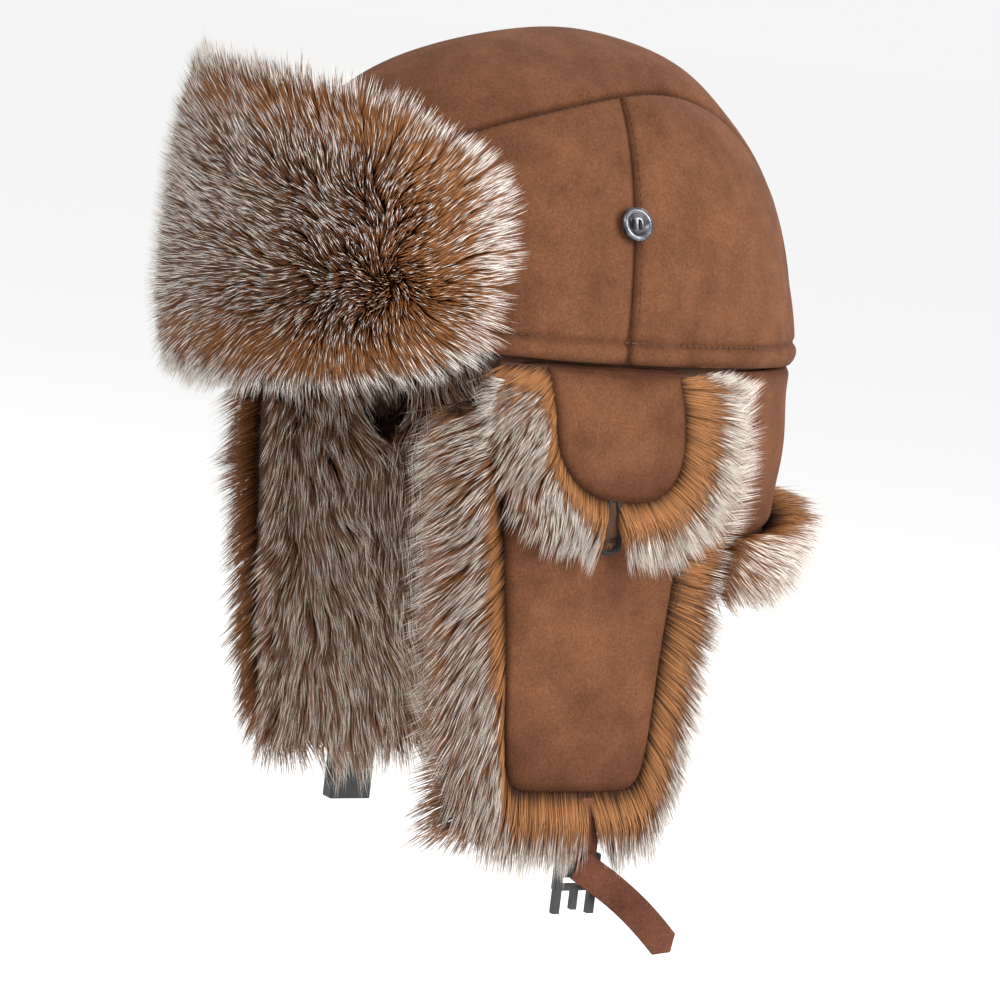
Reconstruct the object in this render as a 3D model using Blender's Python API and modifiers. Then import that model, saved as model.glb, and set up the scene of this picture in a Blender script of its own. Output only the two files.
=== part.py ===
"""Trapper hat: a faux-suede crown with a turned-up front flap, two ear flaps and a nape, all fur lined.

Metres. +Z is up, -Y is the front (the forehead) and +X is the wearer's left.
The origin is the middle of the head opening, at the height of the seam that joins crown and flaps.
Sheet pieces follow the oval wall of the crown: a place on it is an angle round the wall
(0 at the left ear, -90 at the forehead, 90 at the nape), a height, and an offset outwards.
"""

import math

import bmesh
import bpy
from mathutils import Matrix, Vector

GAP = 0.0003

# the oval wall and the dome of the crown
HALF_WIDTH = 0.090
HALF_LENGTH = 0.112
PLAN_POWER = 2.12
CROWN_HEIGHT = 0.113
DOME_POWER = 2.0
APEX_SHIFT = 0.012
DOME_SEGMENTS = 32
DOME_RINGS = 16
SUEDE = 0.0015
WADDING = 0.005
LINING = 0.0018
SWEATBAND = 0.0012
SWEATBAND_HEIGHT = 0.020
SWEATBAND_FOOT = 0.0008
SWEATBAND_LEAN = 0.0030

# the panels of the crown: half the width of the centre strip, at the rear and where it is widest
STRIP_HALF_REAR = 0.038
STRIP_SWELL = 0.017
STRIP_SWELL_AT = -0.022
STRIP_SWELL_SPAN = 0.060

# the ear flaps
FLAP_TOP = -0.0012
FLAP_BOTTOM = -0.155
FLAP_FUR_BOTTOM = -0.172
FLAP_MIDDLE_TOP = -2.5
FLAP_MIDDLE_BOTTOM = 0.0
FLAP_HALF_TOP = 20.5
FLAP_HALF_BOTTOM = 14.5
FLAP_FUR_HALF_TOP = 33.0
FLAP_FUR_HALF_BOTTOM = 26.0
FLAP_WADDING = 0.004
FUR_INSIDE = -0.024
FLAP_ROLL = 0.009
FLAP_REAR_LIMIT = 24.4
EAR_HOLE_MIDDLE = (-0.004, -0.034)
EAR_HOLE_HALF = (0.016, 0.014)
FLAP_HINGE = (0.0905, -0.0012)

# the nape piece
NAPE_START = 25.4
NAPE_HEM = -0.058
NAPE_HEM_DROP = 0.006
NAPE_FUR_BOTTOM = -0.086

# the ear covers
COVER_BOTTOM = -0.049
COVER_FUR_BOTTOM = -0.071
COVER_HALF_TOP = 0.0285
COVER_FUR_HALF = 0.046
COVER_CLEAR = -0.075
COVER_MIDDLE = (-0.005, 0.003)
COVER_HINGE = (0.0925, -0.0010)
COVER_SEAM = 0.0013
COVER_LIFT = 0.0056
COVER_ROLL = 0.0115
LOOP_WIRE = 0.0019
LOOP_HALF = 0.0042
LOOP_MIDDLE = -0.002
LOOP_LENGTH = 0.0165
LOOP_OUT = 0.0077

# the front flap
FRONT_HALF_ANGLE = 60.0
FRONT_BOTTOM = -0.010
FRONT_TOP = 0.092
FRONT_SUEDE_SHARE = 0.86
FRONT_CLEAR = 0.0018
FRONT_FUR_EDGE = 0.006
FRONT_PILLOW = 0.011
FRONT_HINGE = (-0.1135, -0.002)

# buttons, straps and the buckle
BUTTON_RADIUS = 0.00635
BUTTON_THICK = 0.0032
BUTTON_HEIGHT = 0.048
BUTTON_SHANK = 0.0016
BUTTON_HOLE_SPOT = 0.00135
BUTTON_HOLE_RADIUS = 0.0008
THREAD_RADIUS = 0.00045
STRAP_WIDTH = 0.0115
STRAP_THICK = 0.0016
STRAP_MIDDLE = 0.005
STRAP_PIVOT = -0.1735
STRAP_OUT = 0.0010
TAIL_LENGTH = 0.052
TAIL_POINT = 0.004
TAIL_DROOP = 37.0
BUCKLE_WIDTH = 0.018
BUCKLE_HEAD = 0.0036
PLUG_DEEP = 0.0017
SOCKET_DEEP = 0.0035
SOCKET_LENGTH = 0.022
SOCKET_WALL = 0.0012
SOCKET_SIDE = 0.0018
SLOT_WIDTH = 0.0125
SLOT_HEIGHT = 0.0028
SLOT_DROP = 0.0060
SLOT_PITCH = 0.0064

SUEDE_BROWN = (0.30, 0.135, 0.062)
FUR_BROWN = (0.24, 0.15, 0.095)
LINING_BROWN = (0.085, 0.045, 0.028)
WADDING_WHITE = (0.75, 0.74, 0.70)
BLACK = (0.012, 0.012, 0.013)
BUTTON_GREY = (0.22, 0.22, 0.23)


# ---------------------------------------------------------------- scene and materials

def start_scene():
    """An empty scene with one collection for the parts and one for the cutters."""
    for thing in list(bpy.data.objects):
        bpy.data.objects.remove(thing, do_unlink=True)
    parts = bpy.data.collections.new("trapper_hat")
    cutters = bpy.data.collections.new("cutters")
    bpy.context.scene.collection.children.link(parts)
    bpy.context.scene.collection.children.link(cutters)
    return parts, cutters


def finish(name, colour, roughness, metallic=0.0):
    """A Principled material with one colour."""
    material = bpy.data.materials.new(name)
    material.use_nodes = True
    shader = material.node_tree.nodes["Principled BSDF"]
    shader.inputs["Base Color"].default_value = (*colour, 1.0)
    shader.inputs["Roughness"].default_value = roughness
    shader.inputs["Metallic"].default_value = metallic
    return material


def add_object(name, mesh, colour, roughness, metallic=0.0):
    """Put a mesh in the parts collection with a material of its own."""
    thing = bpy.data.objects.new(name, mesh)
    PARTS.objects.link(thing)
    mesh.materials.clear()
    mesh.materials.append(finish(name, colour, roughness, metallic))
    return thing


def mesh_from(bm, name, smooth=True):
    """Turn a bmesh into a mesh with its faces outwards, which a closed one shows by its signed volume."""
    bmesh.ops.recalc_face_normals(bm, faces=bm.faces[:])
    if bm.calc_volume(signed=True) < 0.0:
        bmesh.ops.reverse_faces(bm, faces=bm.faces[:])
    mesh = bpy.data.meshes.new(name)
    bm.to_mesh(mesh)
    bm.free()
    if smooth:
        mesh.shade_smooth()
        mesh.set_sharp_from_angle(angle=math.radians(40))
    return mesh


def cutter(name, bm):
    """A hidden object that shapes others by Boolean."""
    thing = bpy.data.objects.new(name, mesh_from(bm, name, smooth=False))
    CUTTERS.objects.link(thing)
    thing.hide_render = True
    thing.display_type = "WIRE"
    return thing


def boolean(thing, tool, operation="DIFFERENCE"):
    """Cut, keep or join with an exact Boolean modifier."""
    modifier = thing.modifiers.new(f"{operation.lower()} {tool.name}", "BOOLEAN")
    modifier.operation = operation
    modifier.object = tool
    return modifier


def box_mesh(low, high):
    """A cube primitive stretched to two corners."""
    bm = bmesh.new()
    bmesh.ops.create_cube(bm, size=1.0)
    size = [h - l for l, h in zip(low, high)]
    middle = [(h + l) / 2 for l, h in zip(low, high)]
    bmesh.ops.scale(bm, vec=size, verts=bm.verts[:])
    bmesh.ops.translate(bm, vec=middle, verts=bm.verts[:])
    return bm


def rod_mesh(radius, length, segments, place):
    """A capped cylinder along its own Z, then put in place by a matrix."""
    bm = bmesh.new()
    bmesh.ops.create_cone(bm, cap_ends=True, segments=segments, radius1=radius, radius2=radius, depth=length)
    bmesh.ops.transform(bm, matrix=place, verts=bm.verts[:])
    return bm


# ---------------------------------------------------------------- the oval wall

def signed_power(value, power):
    """|value| to a power, with the sign of value."""
    return math.copysign(abs(value) ** power, value)


def smooth(value):
    """0 below 0, 1 above 1, and an S curve between."""
    value = min(max(value, 0.0), 1.0)
    return value * value * (3.0 - 2.0 * value)


def mix(a, b, share):
    """The value a share of the way from a to b."""
    return a + (b - a) * share


def wall(degrees, z, offset):
    """A point on the oval wall: a superellipse in plan, moved along its normal by offset."""
    t = math.radians(degrees)
    x = HALF_WIDTH * signed_power(math.cos(t), 2.0 / PLAN_POWER)
    y = HALF_LENGTH * signed_power(math.sin(t), 2.0 / PLAN_POWER)
    nx = signed_power(x / HALF_WIDTH, PLAN_POWER - 1.0) / HALF_WIDTH
    ny = signed_power(y / HALF_LENGTH, PLAN_POWER - 1.0) / HALF_LENGTH
    size = math.hypot(nx, ny)
    return Vector((x + offset * nx / size, y + offset * ny / size, z))


def degrees_at(y):
    """The angle on the left side at which the wall reaches a given Y."""
    share = min(max(y / HALF_LENGTH, -1.0), 1.0)
    return math.degrees(math.asin(signed_power(share, PLAN_POWER / 2.0)))


def slab(name, columns, rows, place, colour, roughness):
    """A closed curved sheet.

    A flat grid gets a second layer, and place(column, row, layer) puts each corner where it belongs;
    layer 0 is the inner face and layer 1 the outer one.
    """
    bm = bmesh.new()
    across, along = len(columns) - 1, len(rows) - 1
    bmesh.ops.create_grid(bm, x_segments=across, y_segments=along, size=1.0)
    grown = bmesh.ops.extrude_face_region(bm, geom=bm.faces[:])
    for item in grown["geom"]:
        if isinstance(item, bmesh.types.BMVert):
            item.co.z = 1.0
    for vert in bm.verts:
        column = columns[round((vert.co.x + 1.0) / 2.0 * across)]
        row = rows[round((vert.co.y + 1.0) / 2.0 * along)]
        vert.co = place(column, row, vert.co.z > 0.5)
    return add_object(name, mesh_from(bm, name), colour, roughness)


def mirrored(thing, name):
    """A copy on the wearer's right: the evaluated mesh reflected in X, as an object of its own."""
    depsgraph = bpy.context.evaluated_depsgraph_get()
    mesh = bpy.data.meshes.new_from_object(thing.evaluated_get(depsgraph))
    mesh.transform(thing.matrix_world)
    mesh.transform(Matrix.Scale(-1.0, 4, Vector((1.0, 0.0, 0.0))))
    mesh.flip_normals()
    material = thing.data.materials[0].copy()
    material.name = name
    mesh.name = name
    mesh.materials.clear()
    mesh.materials.append(material)
    copy = bpy.data.objects.new(name, mesh)
    PARTS.objects.link(copy)
    return copy


# ---------------------------------------------------------------- the crown

def dome_shell(name, outside, inside, colour, roughness):
    """A thick dome: a sphere primitive reshaped, cut off at the head opening, then made solid."""
    bpy.ops.mesh.primitive_uv_sphere_add(segments=DOME_SEGMENTS, ring_count=DOME_RINGS, radius=1.0)
    thing = bpy.context.active_object
    thing.name = name
    mesh = thing.data
    mesh.name = name
    bm = bmesh.new()
    bm.from_mesh(mesh)
    lower_half = [v for v in bm.verts if v.co.z < -0.001]
    bmesh.ops.delete(bm, geom=lower_half, context="VERTS")
    for vert in bm.verts:
        rise = min(max(vert.co.z, 0.0), 1.0)
        turn = math.degrees(math.atan2(vert.co.y, vert.co.x))
        spread = (1.0 - rise * rise) ** (1.0 / DOME_POWER)
        lift = rise ** (2.0 / DOME_POWER)
        edge = wall(turn, 0.0, outside)
        height = CROWN_HEIGHT + outside
        vert.co.x = edge.x * spread
        vert.co.y = edge.y * spread + APEX_SHIFT * lift * lift
        vert.co.z = GAP + (height - GAP) * lift
    bm.to_mesh(mesh)
    bm.free()
    for user in list(thing.users_collection):
        user.objects.unlink(thing)
    PARTS.objects.link(thing)
    mesh.materials.clear()
    mesh.materials.append(finish(name, colour, roughness))
    mesh.shade_smooth()
    thick = thing.modifiers.new("thickness", "SOLIDIFY")
    thick.thickness = outside - inside
    thick.offset = -1.0
    thick.use_rim = True
    trim = thing.modifiers.new("level rim", "BOOLEAN")
    trim.object = below_seam()
    return thing


def below_seam():
    """Everything under the seam, as a cutter that keeps the dome's lower rim level."""
    if "cutter_below_seam" in bpy.data.objects:
        return bpy.data.objects["cutter_below_seam"]
    reach = 0.3
    return cutter("cutter_below_seam", box_mesh((-reach, -reach, -reach), (reach, reach, GAP)))


def strip_half(y):
    """Half the width of the centre strip at a distance forward or back of the middle."""
    return STRIP_HALF_REAR + STRIP_SWELL * math.exp(-(((y - STRIP_SWELL_AT) / STRIP_SWELL_SPAN) ** 2))


def strip_cutter(name, extra):
    """The centre strip's outline in plan, as a tall block that is `extra` wider on each side."""
    bm = bmesh.new()
    steps = 14
    reach = 0.16
    bmesh.ops.create_grid(bm, x_segments=1, y_segments=steps, size=1.0)
    bmesh.ops.extrude_face_region(bm, geom=bm.faces[:])
    bm.verts.ensure_lookup_table()
    half = len(bm.verts) // 2
    for vert in bm.verts[half:]:
        vert.co.z = 1.0
    for vert in bm.verts:
        y = vert.co.y * reach
        vert.co = Vector((math.copysign(strip_half(y) + extra, vert.co.x), y, vert.co.z * reach * 2 - reach))
    return cutter(name, bm)


def crown():
    """Five suede panels, the wadding, the lining and the sweatband."""
    strip = dome_shell("crown_top_panel", 0.0, -SUEDE, SUEDE_BROWN, 0.9)
    boolean(strip, strip_cutter("cutter_strip", 0.0), "INTERSECT")
    wide = strip_cutter("cutter_strip_wide", GAP)
    reach = 0.2
    half_gap = GAP / 2
    for part, low, high in (("front", -reach, -half_gap), ("rear", half_gap, reach)):
        for side, near, far in (("left", 0.0, reach), ("right", -reach, 0.0)):
            name = f"crown_side_{part}_{side}"
            panel = dome_shell(name, 0.0, -SUEDE, SUEDE_BROWN, 0.9)
            boolean(panel, wide)
            quarter = cutter(f"cutter_{part}_{side}", box_mesh((near, low, -reach), (far, high, reach)))
            boolean(panel, quarter, "INTERSECT")
    depth = -SUEDE - GAP
    dome_shell("crown_wadding", depth, depth - WADDING, WADDING_WHITE, 1.0)
    depth -= WADDING + GAP
    dome_shell("crown_lining", depth, depth - LINING, LINING_BROWN, 0.45)
    sweatband(depth - LINING - GAP * 4)


def sweatband(inside):
    """A closed ring of tape inside the head opening: a turned wall with the plan of the crown."""
    bm = bmesh.new()
    bmesh.ops.create_cone(bm, segments=DOME_SEGMENTS, radius1=1.0, radius2=1.0, depth=2.0)
    for vert in bm.verts:
        turn = math.degrees(math.atan2(vert.co.y, vert.co.x))
        raised = vert.co.z > 0.0
        height, lean = (SWEATBAND_HEIGHT, SWEATBAND_LEAN) if raised else (SWEATBAND_FOOT, 0.0)
        vert.co = wall(turn, height, inside - lean)
    mesh = mesh_from(bm, "sweatband", smooth=False)
    mesh.shade_smooth()
    thing = add_object("sweatband", mesh, BLACK, 0.8)
    thick = thing.modifiers.new("thickness", "SOLIDIFY")
    thick.thickness = SWEATBAND
    thick.offset = -1.0


# ---------------------------------------------------------------- ear flaps

def flap_middle(z):
    """The angle of an ear flap's centre line at a height."""
    return mix(FLAP_MIDDLE_TOP, FLAP_MIDDLE_BOTTOM, z / FLAP_BOTTOM)


def corner(z, end, radius_share=0.18):
    """How much of its width an outline keeps at a height, with rounded corners near its end."""
    near = smooth((z / end - (1.0 - radius_share)) / radius_share)
    return math.sqrt(1.0 - 0.36 * near * near)


def flap_half(z):
    """Half the width of the suede of an ear flap, in degrees."""
    return mix(FLAP_HALF_TOP, FLAP_HALF_BOTTOM, smooth(z / FLAP_BOTTOM)) * corner(z, FLAP_BOTTOM)


def flap_fur_edge(z, side):
    """The angle of the fur's outer edge: side -1 is the front edge and 1 the rear one."""
    half = mix(FLAP_FUR_HALF_TOP, FLAP_FUR_HALF_BOTTOM, smooth(z / FLAP_FUR_BOTTOM))
    angle = flap_middle(z) + side * half * corner(z, FLAP_FUR_BOTTOM, 0.22)
    if side > 0:
        free = smooth((-z - 0.089) / 0.008)
        angle = mix(min(angle, FLAP_REAR_LIMIT), angle, free)
    return angle


def flap_angle(column, z):
    """Column -1 to 1 crosses the suede; out to -2 or 2 it crosses the fur border."""
    inner = max(-1.0, min(1.0, column))
    angle = flap_middle(z) + inner * flap_half(z)
    beyond = abs(column) - 1.0
    if beyond > 0.0:
        side = math.copysign(1.0, column)
        angle = mix(angle, flap_fur_edge(z, side), beyond)
    return angle


def flap_z(row, top, bottom, fur_bottom):
    """Row 0 to 1 runs down the suede, and from 1 to 2 down the fur border under it."""
    if row <= 1.0:
        return mix(top, bottom, row)
    return mix(bottom, fur_bottom, row - 1.0)


def flap_sheet(name, offsets, margin, rows, colour, roughness):
    """The suede or the wadding of the left ear flap, between two offsets from the wall."""
    columns = [-1.0, -0.75, -0.5, -0.25, 0.0, 0.25, 0.5, 0.75, 1.0]

    def place(column, row, outer):
        z = mix(FLAP_TOP, FLAP_BOTTOM + margin, row)
        half = flap_half(z) - math.degrees(margin / HALF_LENGTH)
        return wall(flap_middle(z) + column * half, z, offsets[outer])

    return slab(name, columns, rows, place, colour, roughness)


def flap_fur(name):
    """The fur of the left ear flap: thin behind the suede, with a raised roll round its edges.

    The roll stays low where the ear cover lies over it.
    """
    border = [1.02, 1.06, 1.3, 1.6, 1.85, 2.0]
    columns = [-c for c in reversed(border)] + [-0.5, -0.14, 0.2, 0.52, 0.7] + border
    rows = [0.0, 0.09, 0.2, 0.35, 0.49, 0.54, 0.62, 0.75, 0.88, 1.0, 1.03, 1.4, 1.8, 2.0]
    hidden = -SUEDE - FLAP_WADDING - 2 * GAP

    def place(column, row, outer):
        z = flap_z(row, FLAP_TOP - GAP, FLAP_BOTTOM - GAP, FLAP_FUR_BOTTOM)
        angle = flap_angle(column, z)
        y = wall(angle, z, 0.0).y
        share = max(abs(column) - 1.02, row - 1.0, 0.0)
        if outer and share > 0.0:
            uncovered = max(smooth((COVER_CLEAR - z) / 0.008), smooth((-y - COVER_FUR_HALF - 0.008) / 0.004))
            offset = mix(-0.0006, FLAP_ROLL * (1.0 - share * share), uncovered)
            if row > 1.0:
                beside = smooth((abs(y - STRAP_MIDDLE) - STRAP_WIDTH / 2 - 0.0035) / 0.004)
                offset = mix(-0.0006, offset, beside)
        elif outer:
            offset = hidden
        else:
            offset = FUR_INSIDE + 0.010 * share * share
        if column < -1.03:
            z = min(z, -0.0165)
        return wall(angle, z, offset)

    return slab(name, columns, rows, place, FUR_BROWN, 1.0)


def ear_hole_cutter():
    """An oval rod through the left ear flap."""
    turn = Matrix.Rotation(math.pi / 2, 4, "Y")
    bm = rod_mesh(1.0, 0.12, 20, turn)
    bmesh.ops.scale(bm, vec=(1.0, EAR_HOLE_HALF[0], EAR_HOLE_HALF[1]), verts=bm.verts[:])
    bmesh.ops.translate(bm, vec=(0.080, *EAR_HOLE_MIDDLE), verts=bm.verts[:])
    return cutter("cutter_ear_hole", bm)


def ear_flaps():
    """Suede, wadding and fur of both ear flaps, each with the ear hole cut through."""
    rows = [0.0, 0.12, 0.25, 0.4, 0.55, 0.7, 0.82, 0.91, 0.96, 1.0]
    hole = ear_hole_cutter()
    wadding = (-SUEDE - GAP - FLAP_WADDING, -SUEDE - GAP)
    left = [
        flap_sheet("ear_flap_shell_left", (-SUEDE, 0.0), 0.0, rows, SUEDE_BROWN, 0.9),
        flap_sheet("ear_flap_wadding_left", wadding, 0.002, rows, WADDING_WHITE, 1.0),
        flap_fur("ear_flap_fur_left"),
    ]
    for thing in left:
        boolean(thing, hole)
        mirrored(thing, thing.name.replace("left", "right"))


# ---------------------------------------------------------------- nape

def nape_hem(degrees):
    """The height of the nape's hem, lower beside the ear flaps than at the back."""
    return NAPE_HEM - NAPE_HEM_DROP * smooth(abs(degrees - 90.0) / 60.0)


def nape():
    """The suede, wadding and fur of the nape, from one ear flap round the back to the other."""
    count = 18
    columns = [mix(NAPE_START, 180.0 - NAPE_START, i / count) for i in range(count + 1)]

    def sheet(offsets, margin):
        def place(degrees, row, outer):
            return wall(degrees, mix(FLAP_TOP, nape_hem(degrees) + margin, row), offsets[outer])
        return place

    slab("nape_shell", columns, [0.0, 0.5, 1.0], sheet((-SUEDE, 0.0), 0.0), SUEDE_BROWN, 0.9)
    wadding = (-SUEDE - GAP - FLAP_WADDING, -SUEDE - GAP)
    slab("nape_wadding", columns, [0.0, 0.5, 1.0], sheet(wadding, 0.001), WADDING_WHITE, 1.0)

    hidden = -SUEDE - FLAP_WADDING - 2 * GAP
    rows = [0.0, 0.45, 0.9, 1.0, 1.02, 1.2, 1.5, 1.8, 2.0]
    bulge = {1.02: 0.008, 1.2: 0.016, 1.5: 0.020, 1.8: 0.014, 2.0: 0.004}
    inside = {1.5: 0.002, 1.8: 0.006, 2.0: 0.012}

    def place(degrees, row, outer):
        z = flap_z(row, FLAP_TOP - GAP, nape_hem(degrees) - GAP, NAPE_FUR_BOTTOM)
        end = smooth((90.0 - abs(degrees - 90.0) - NAPE_START) / 14.0)
        if outer:
            offset = hidden if row <= 1.0 else mix(0.004, bulge[row], mix(0.5, 1.0, end))
        else:
            offset = FUR_INSIDE + inside.get(row, 0.0)
        return wall(degrees, z, offset)

    slab("nape_fur", columns, rows, place, FUR_BROWN, 1.0)


# ---------------------------------------------------------------- ear covers

def cover_middle(z):
    """The Y of an ear cover's centre line, which leans back a little."""
    return mix(COVER_MIDDLE[0], COVER_MIDDLE[1], z / COVER_BOTTOM)


def cover_half(z):
    """Half the width of the suede tab, rounded to a U at the bottom."""
    near = smooth((z / COVER_BOTTOM - 0.45) / 0.55)
    return COVER_HALF_TOP * math.sqrt(1.0 - 0.72 * near * near)


def cover_lift(z):
    """How far the tab stands off the ear flap: nothing at the seam, more below it."""
    return smooth(-z / 0.016)


def cover_fur_half(z):
    """Half the width of the cover with its fur border."""
    near = smooth((z / COVER_FUR_BOTTOM - 0.35) / 0.65)
    return COVER_FUR_HALF * math.sqrt(1.0 - 0.80 * near * near)


def cover_y(column, z):
    """Column -1 to 1 crosses the tab; out to -2 or 2 it crosses the fur border."""
    half = cover_half(z) * min(abs(column), 1.0)
    beyond = max(abs(column) - 1.0, 0.0)
    return cover_middle(z) + math.copysign(mix(half, cover_fur_half(z), beyond), column)


def ear_covers():
    """A U-shaped suede tab, the fur behind and round it, and the loop at its foot."""
    def tab_place(column, row, outer):
        z = mix(-0.0010, COVER_BOTTOM, row)
        offset = COVER_SEAM + COVER_LIFT * cover_lift(z) + (SUEDE if outer else 0.0)
        return wall(degrees_at(cover_y(column, z)), z, offset)

    columns = [-1.0, -0.7, -0.35, 0.0, 0.35, 0.7, 1.0]
    rows = [0.0, 0.12, 0.25, 0.42, 0.6, 0.75, 0.87, 0.95, 1.0]
    tab = slab("ear_cover_shell_left", columns, rows, tab_place, SUEDE_BROWN, 0.9)

    def fur_place(column, row, outer):
        z = flap_z(row, -0.0055, COVER_BOTTOM - GAP * 2, COVER_FUR_BOTTOM)
        y = cover_y(column, z)
        share = max(max(abs(column) - 1.03, 0.0) / 0.97, max(row - 1.0, 0.0))
        lift = cover_lift(z)
        if outer:
            border = mix(0.0030, COVER_ROLL - 0.0050 * share * share, lift)
            offset = COVER_SEAM - 0.0004 + COVER_LIFT * lift if share <= 0.0 else border
            if row > 1.0:
                beside = smooth((abs(y - LOOP_MIDDLE) - LOOP_HALF - 0.0018) / 0.003)
                offset = mix(0.0042, offset, beside)
        else:
            offset = 0.0007
        return wall(degrees_at(y), z, offset)

    edge = [1.03, 1.07, 1.35, 1.7, 2.0]
    columns = [-c for c in reversed(edge)] + [-0.8, -0.6, -0.4, -0.2, 0.0, 0.3, 0.65] + edge
    rows = [0.0, 0.15, 0.35, 0.55, 0.75, 0.88, 1.0, 1.05, 1.35, 1.7, 2.0]
    fur = slab("ear_cover_fur_left", columns, rows, fur_place, FUR_BROWN, 1.0)
    loop = ear_loop()
    for thing in (tab, fur, loop):
        mirrored(thing, thing.name.replace("left", "right"))


def ear_loop():
    """A loop of round elastic under the tab: a bent tube with filled ends."""
    top = COVER_BOTTOM - GAP * 2
    bottom = top - LOOP_LENGTH
    x = HALF_WIDTH + LOOP_OUT
    y = LOOP_MIDDLE
    turns = [math.pi * i / 6 for i in range(7)]
    round_z = bottom + LOOP_HALF
    points = [(x, y - LOOP_HALF, top)]
    points += [(x, y - LOOP_HALF * math.cos(t), round_z - LOOP_HALF * math.sin(t)) for t in turns]
    points += [(x, y + LOOP_HALF, top)]
    tube = tube_mesh("ear_cover_loop_left", points, LOOP_WIRE / 2, 1)
    return add_object("ear_cover_loop_left", tube, BLACK, 0.8)


def tube_mesh(name, points, radius, resolution):
    """A round tube along straight runs between points, as a welded mesh with filled ends."""
    curve = bpy.data.curves.new(name, "CURVE")
    curve.dimensions = "3D"
    curve.bevel_depth = radius
    curve.bevel_resolution = resolution
    curve.use_fill_caps = True
    spline = curve.splines.new("POLY")
    spline.points.add(len(points) - 1)
    for point, place in zip(spline.points, points):
        point.co = (*place, 1.0)
    guide = bpy.data.objects.new(f"{name}_guide", curve)
    CUTTERS.objects.link(guide)
    depsgraph = bpy.context.evaluated_depsgraph_get()
    mesh = bpy.data.meshes.new_from_object(guide.evaluated_get(depsgraph))
    bpy.data.objects.remove(guide, do_unlink=True)
    bm = bmesh.new()
    bm.from_mesh(mesh)
    bmesh.ops.remove_doubles(bm, verts=bm.verts[:], dist=1.0e-6)
    return mesh_from(bm, name)


# ---------------------------------------------------------------- front flap

def front_place(share, offsets, pillow):
    """The place function of a front flap layer that covers a share of the flap."""
    middle_z = (FRONT_TOP + FRONT_BOTTOM) / 2
    half_z = (FRONT_TOP - FRONT_BOTTOM) / 2

    def place(column, row, outer):
        rounded = (1.0 - 0.62 * abs(row) ** 7) ** 0.5
        degrees = -90.0 + column * FRONT_HALF_ANGLE * share * rounded
        z = middle_z + row * half_z * mix(1.0, share, 0.8)
        offset = offsets[outer]
        if outer and pillow:
            full = max((1.0 - abs(column) ** 6) * (1.0 - abs(row) ** 4), 0.0)
            offset += pillow * math.sqrt(full)
        return wall(degrees, z, offset)

    return place


def front_flap():
    """The turned-up flap on the forehead: suede against the crown, wadding, and fur facing out."""
    columns = [-1.0, -0.94, -0.82, -0.66, -0.5, -0.33, -0.16, 0.0, 0.16, 0.33, 0.5, 0.66, 0.82, 0.94, 1.0]
    rows = [-1.0, -0.93, -0.75, -0.4, 0.0, 0.4, 0.75, 0.93, 1.0]
    plain = [-1.0, -0.5, 0.5, 0.9, 1.0]
    suede = (FRONT_CLEAR, FRONT_CLEAR + SUEDE)
    wadding = (suede[1] + GAP, suede[1] + GAP + FLAP_WADDING)
    fur = wadding[1] + 3 * GAP
    backing = front_place(FRONT_SUEDE_SHARE, suede, 0.0)
    filling = front_place(FRONT_SUEDE_SHARE, wadding, 0.0)
    slab("front_flap_shell", columns, plain, backing, SUEDE_BROWN, 0.9)
    slab("front_flap_wadding", columns, plain, filling, WADDING_WHITE, 1.0)
    pad = front_place(1.0, (fur, fur + FRONT_FUR_EDGE), FRONT_PILLOW)
    slab("front_flap_fur", columns, rows, pad, FUR_BROWN, 1.0)


# ---------------------------------------------------------------- buttons

def button_place():
    """The frame of the left button: its own +Z points straight out of the dome."""
    lift = BUTTON_HEIGHT / CROWN_HEIGHT
    spread = (1.0 - lift ** DOME_POWER) ** (1.0 / DOME_POWER)
    x = HALF_WIDTH * spread
    lean = math.atan2(BUTTON_HEIGHT / CROWN_HEIGHT ** 2, x / HALF_WIDTH ** 2)
    turn = Matrix.Rotation(math.pi / 2 - lean, 4, "Y")
    return Matrix.Translation((x, 0.0, BUTTON_HEIGHT)) @ turn


def buttons():
    """A four-hole button on each side seam, on a thread shank."""
    place = button_place()
    r, t = BUTTON_RADIUS, BUTTON_THICK
    outline = [
        (0.0, t * 0.62), (r * 0.52, t * 0.62), (r * 0.70, t * 0.78), (r * 0.74, t), (r * 0.92, t),
        (r, t * 0.80), (r, t * 0.30), (r * 0.86, 0.0), (0.0, 0.0),
    ]
    mesh = turned("button_left", outline, 22)
    mesh.transform(place @ Matrix.Translation((0.0, 0.0, BUTTON_SHANK)))
    button = add_object("button_left", mesh, BUTTON_GREY, 0.3, 0.6)
    spots = [(sx * BUTTON_HOLE_SPOT, sy * BUTTON_HOLE_SPOT) for sx in (-1, 1) for sy in (-1, 1)]
    for index, (x, y) in enumerate(spots):
        hole = rod_mesh(BUTTON_HOLE_RADIUS, 0.02, 8, place @ Matrix.Translation((x, y, 0.0)))
        boolean(button, cutter(f"cutter_button_{index}", hole))
    thread = thread_shank(place, spots)
    for thing in (button, thread):
        mirrored(thing, thing.name.replace("left", "right"))


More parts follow.
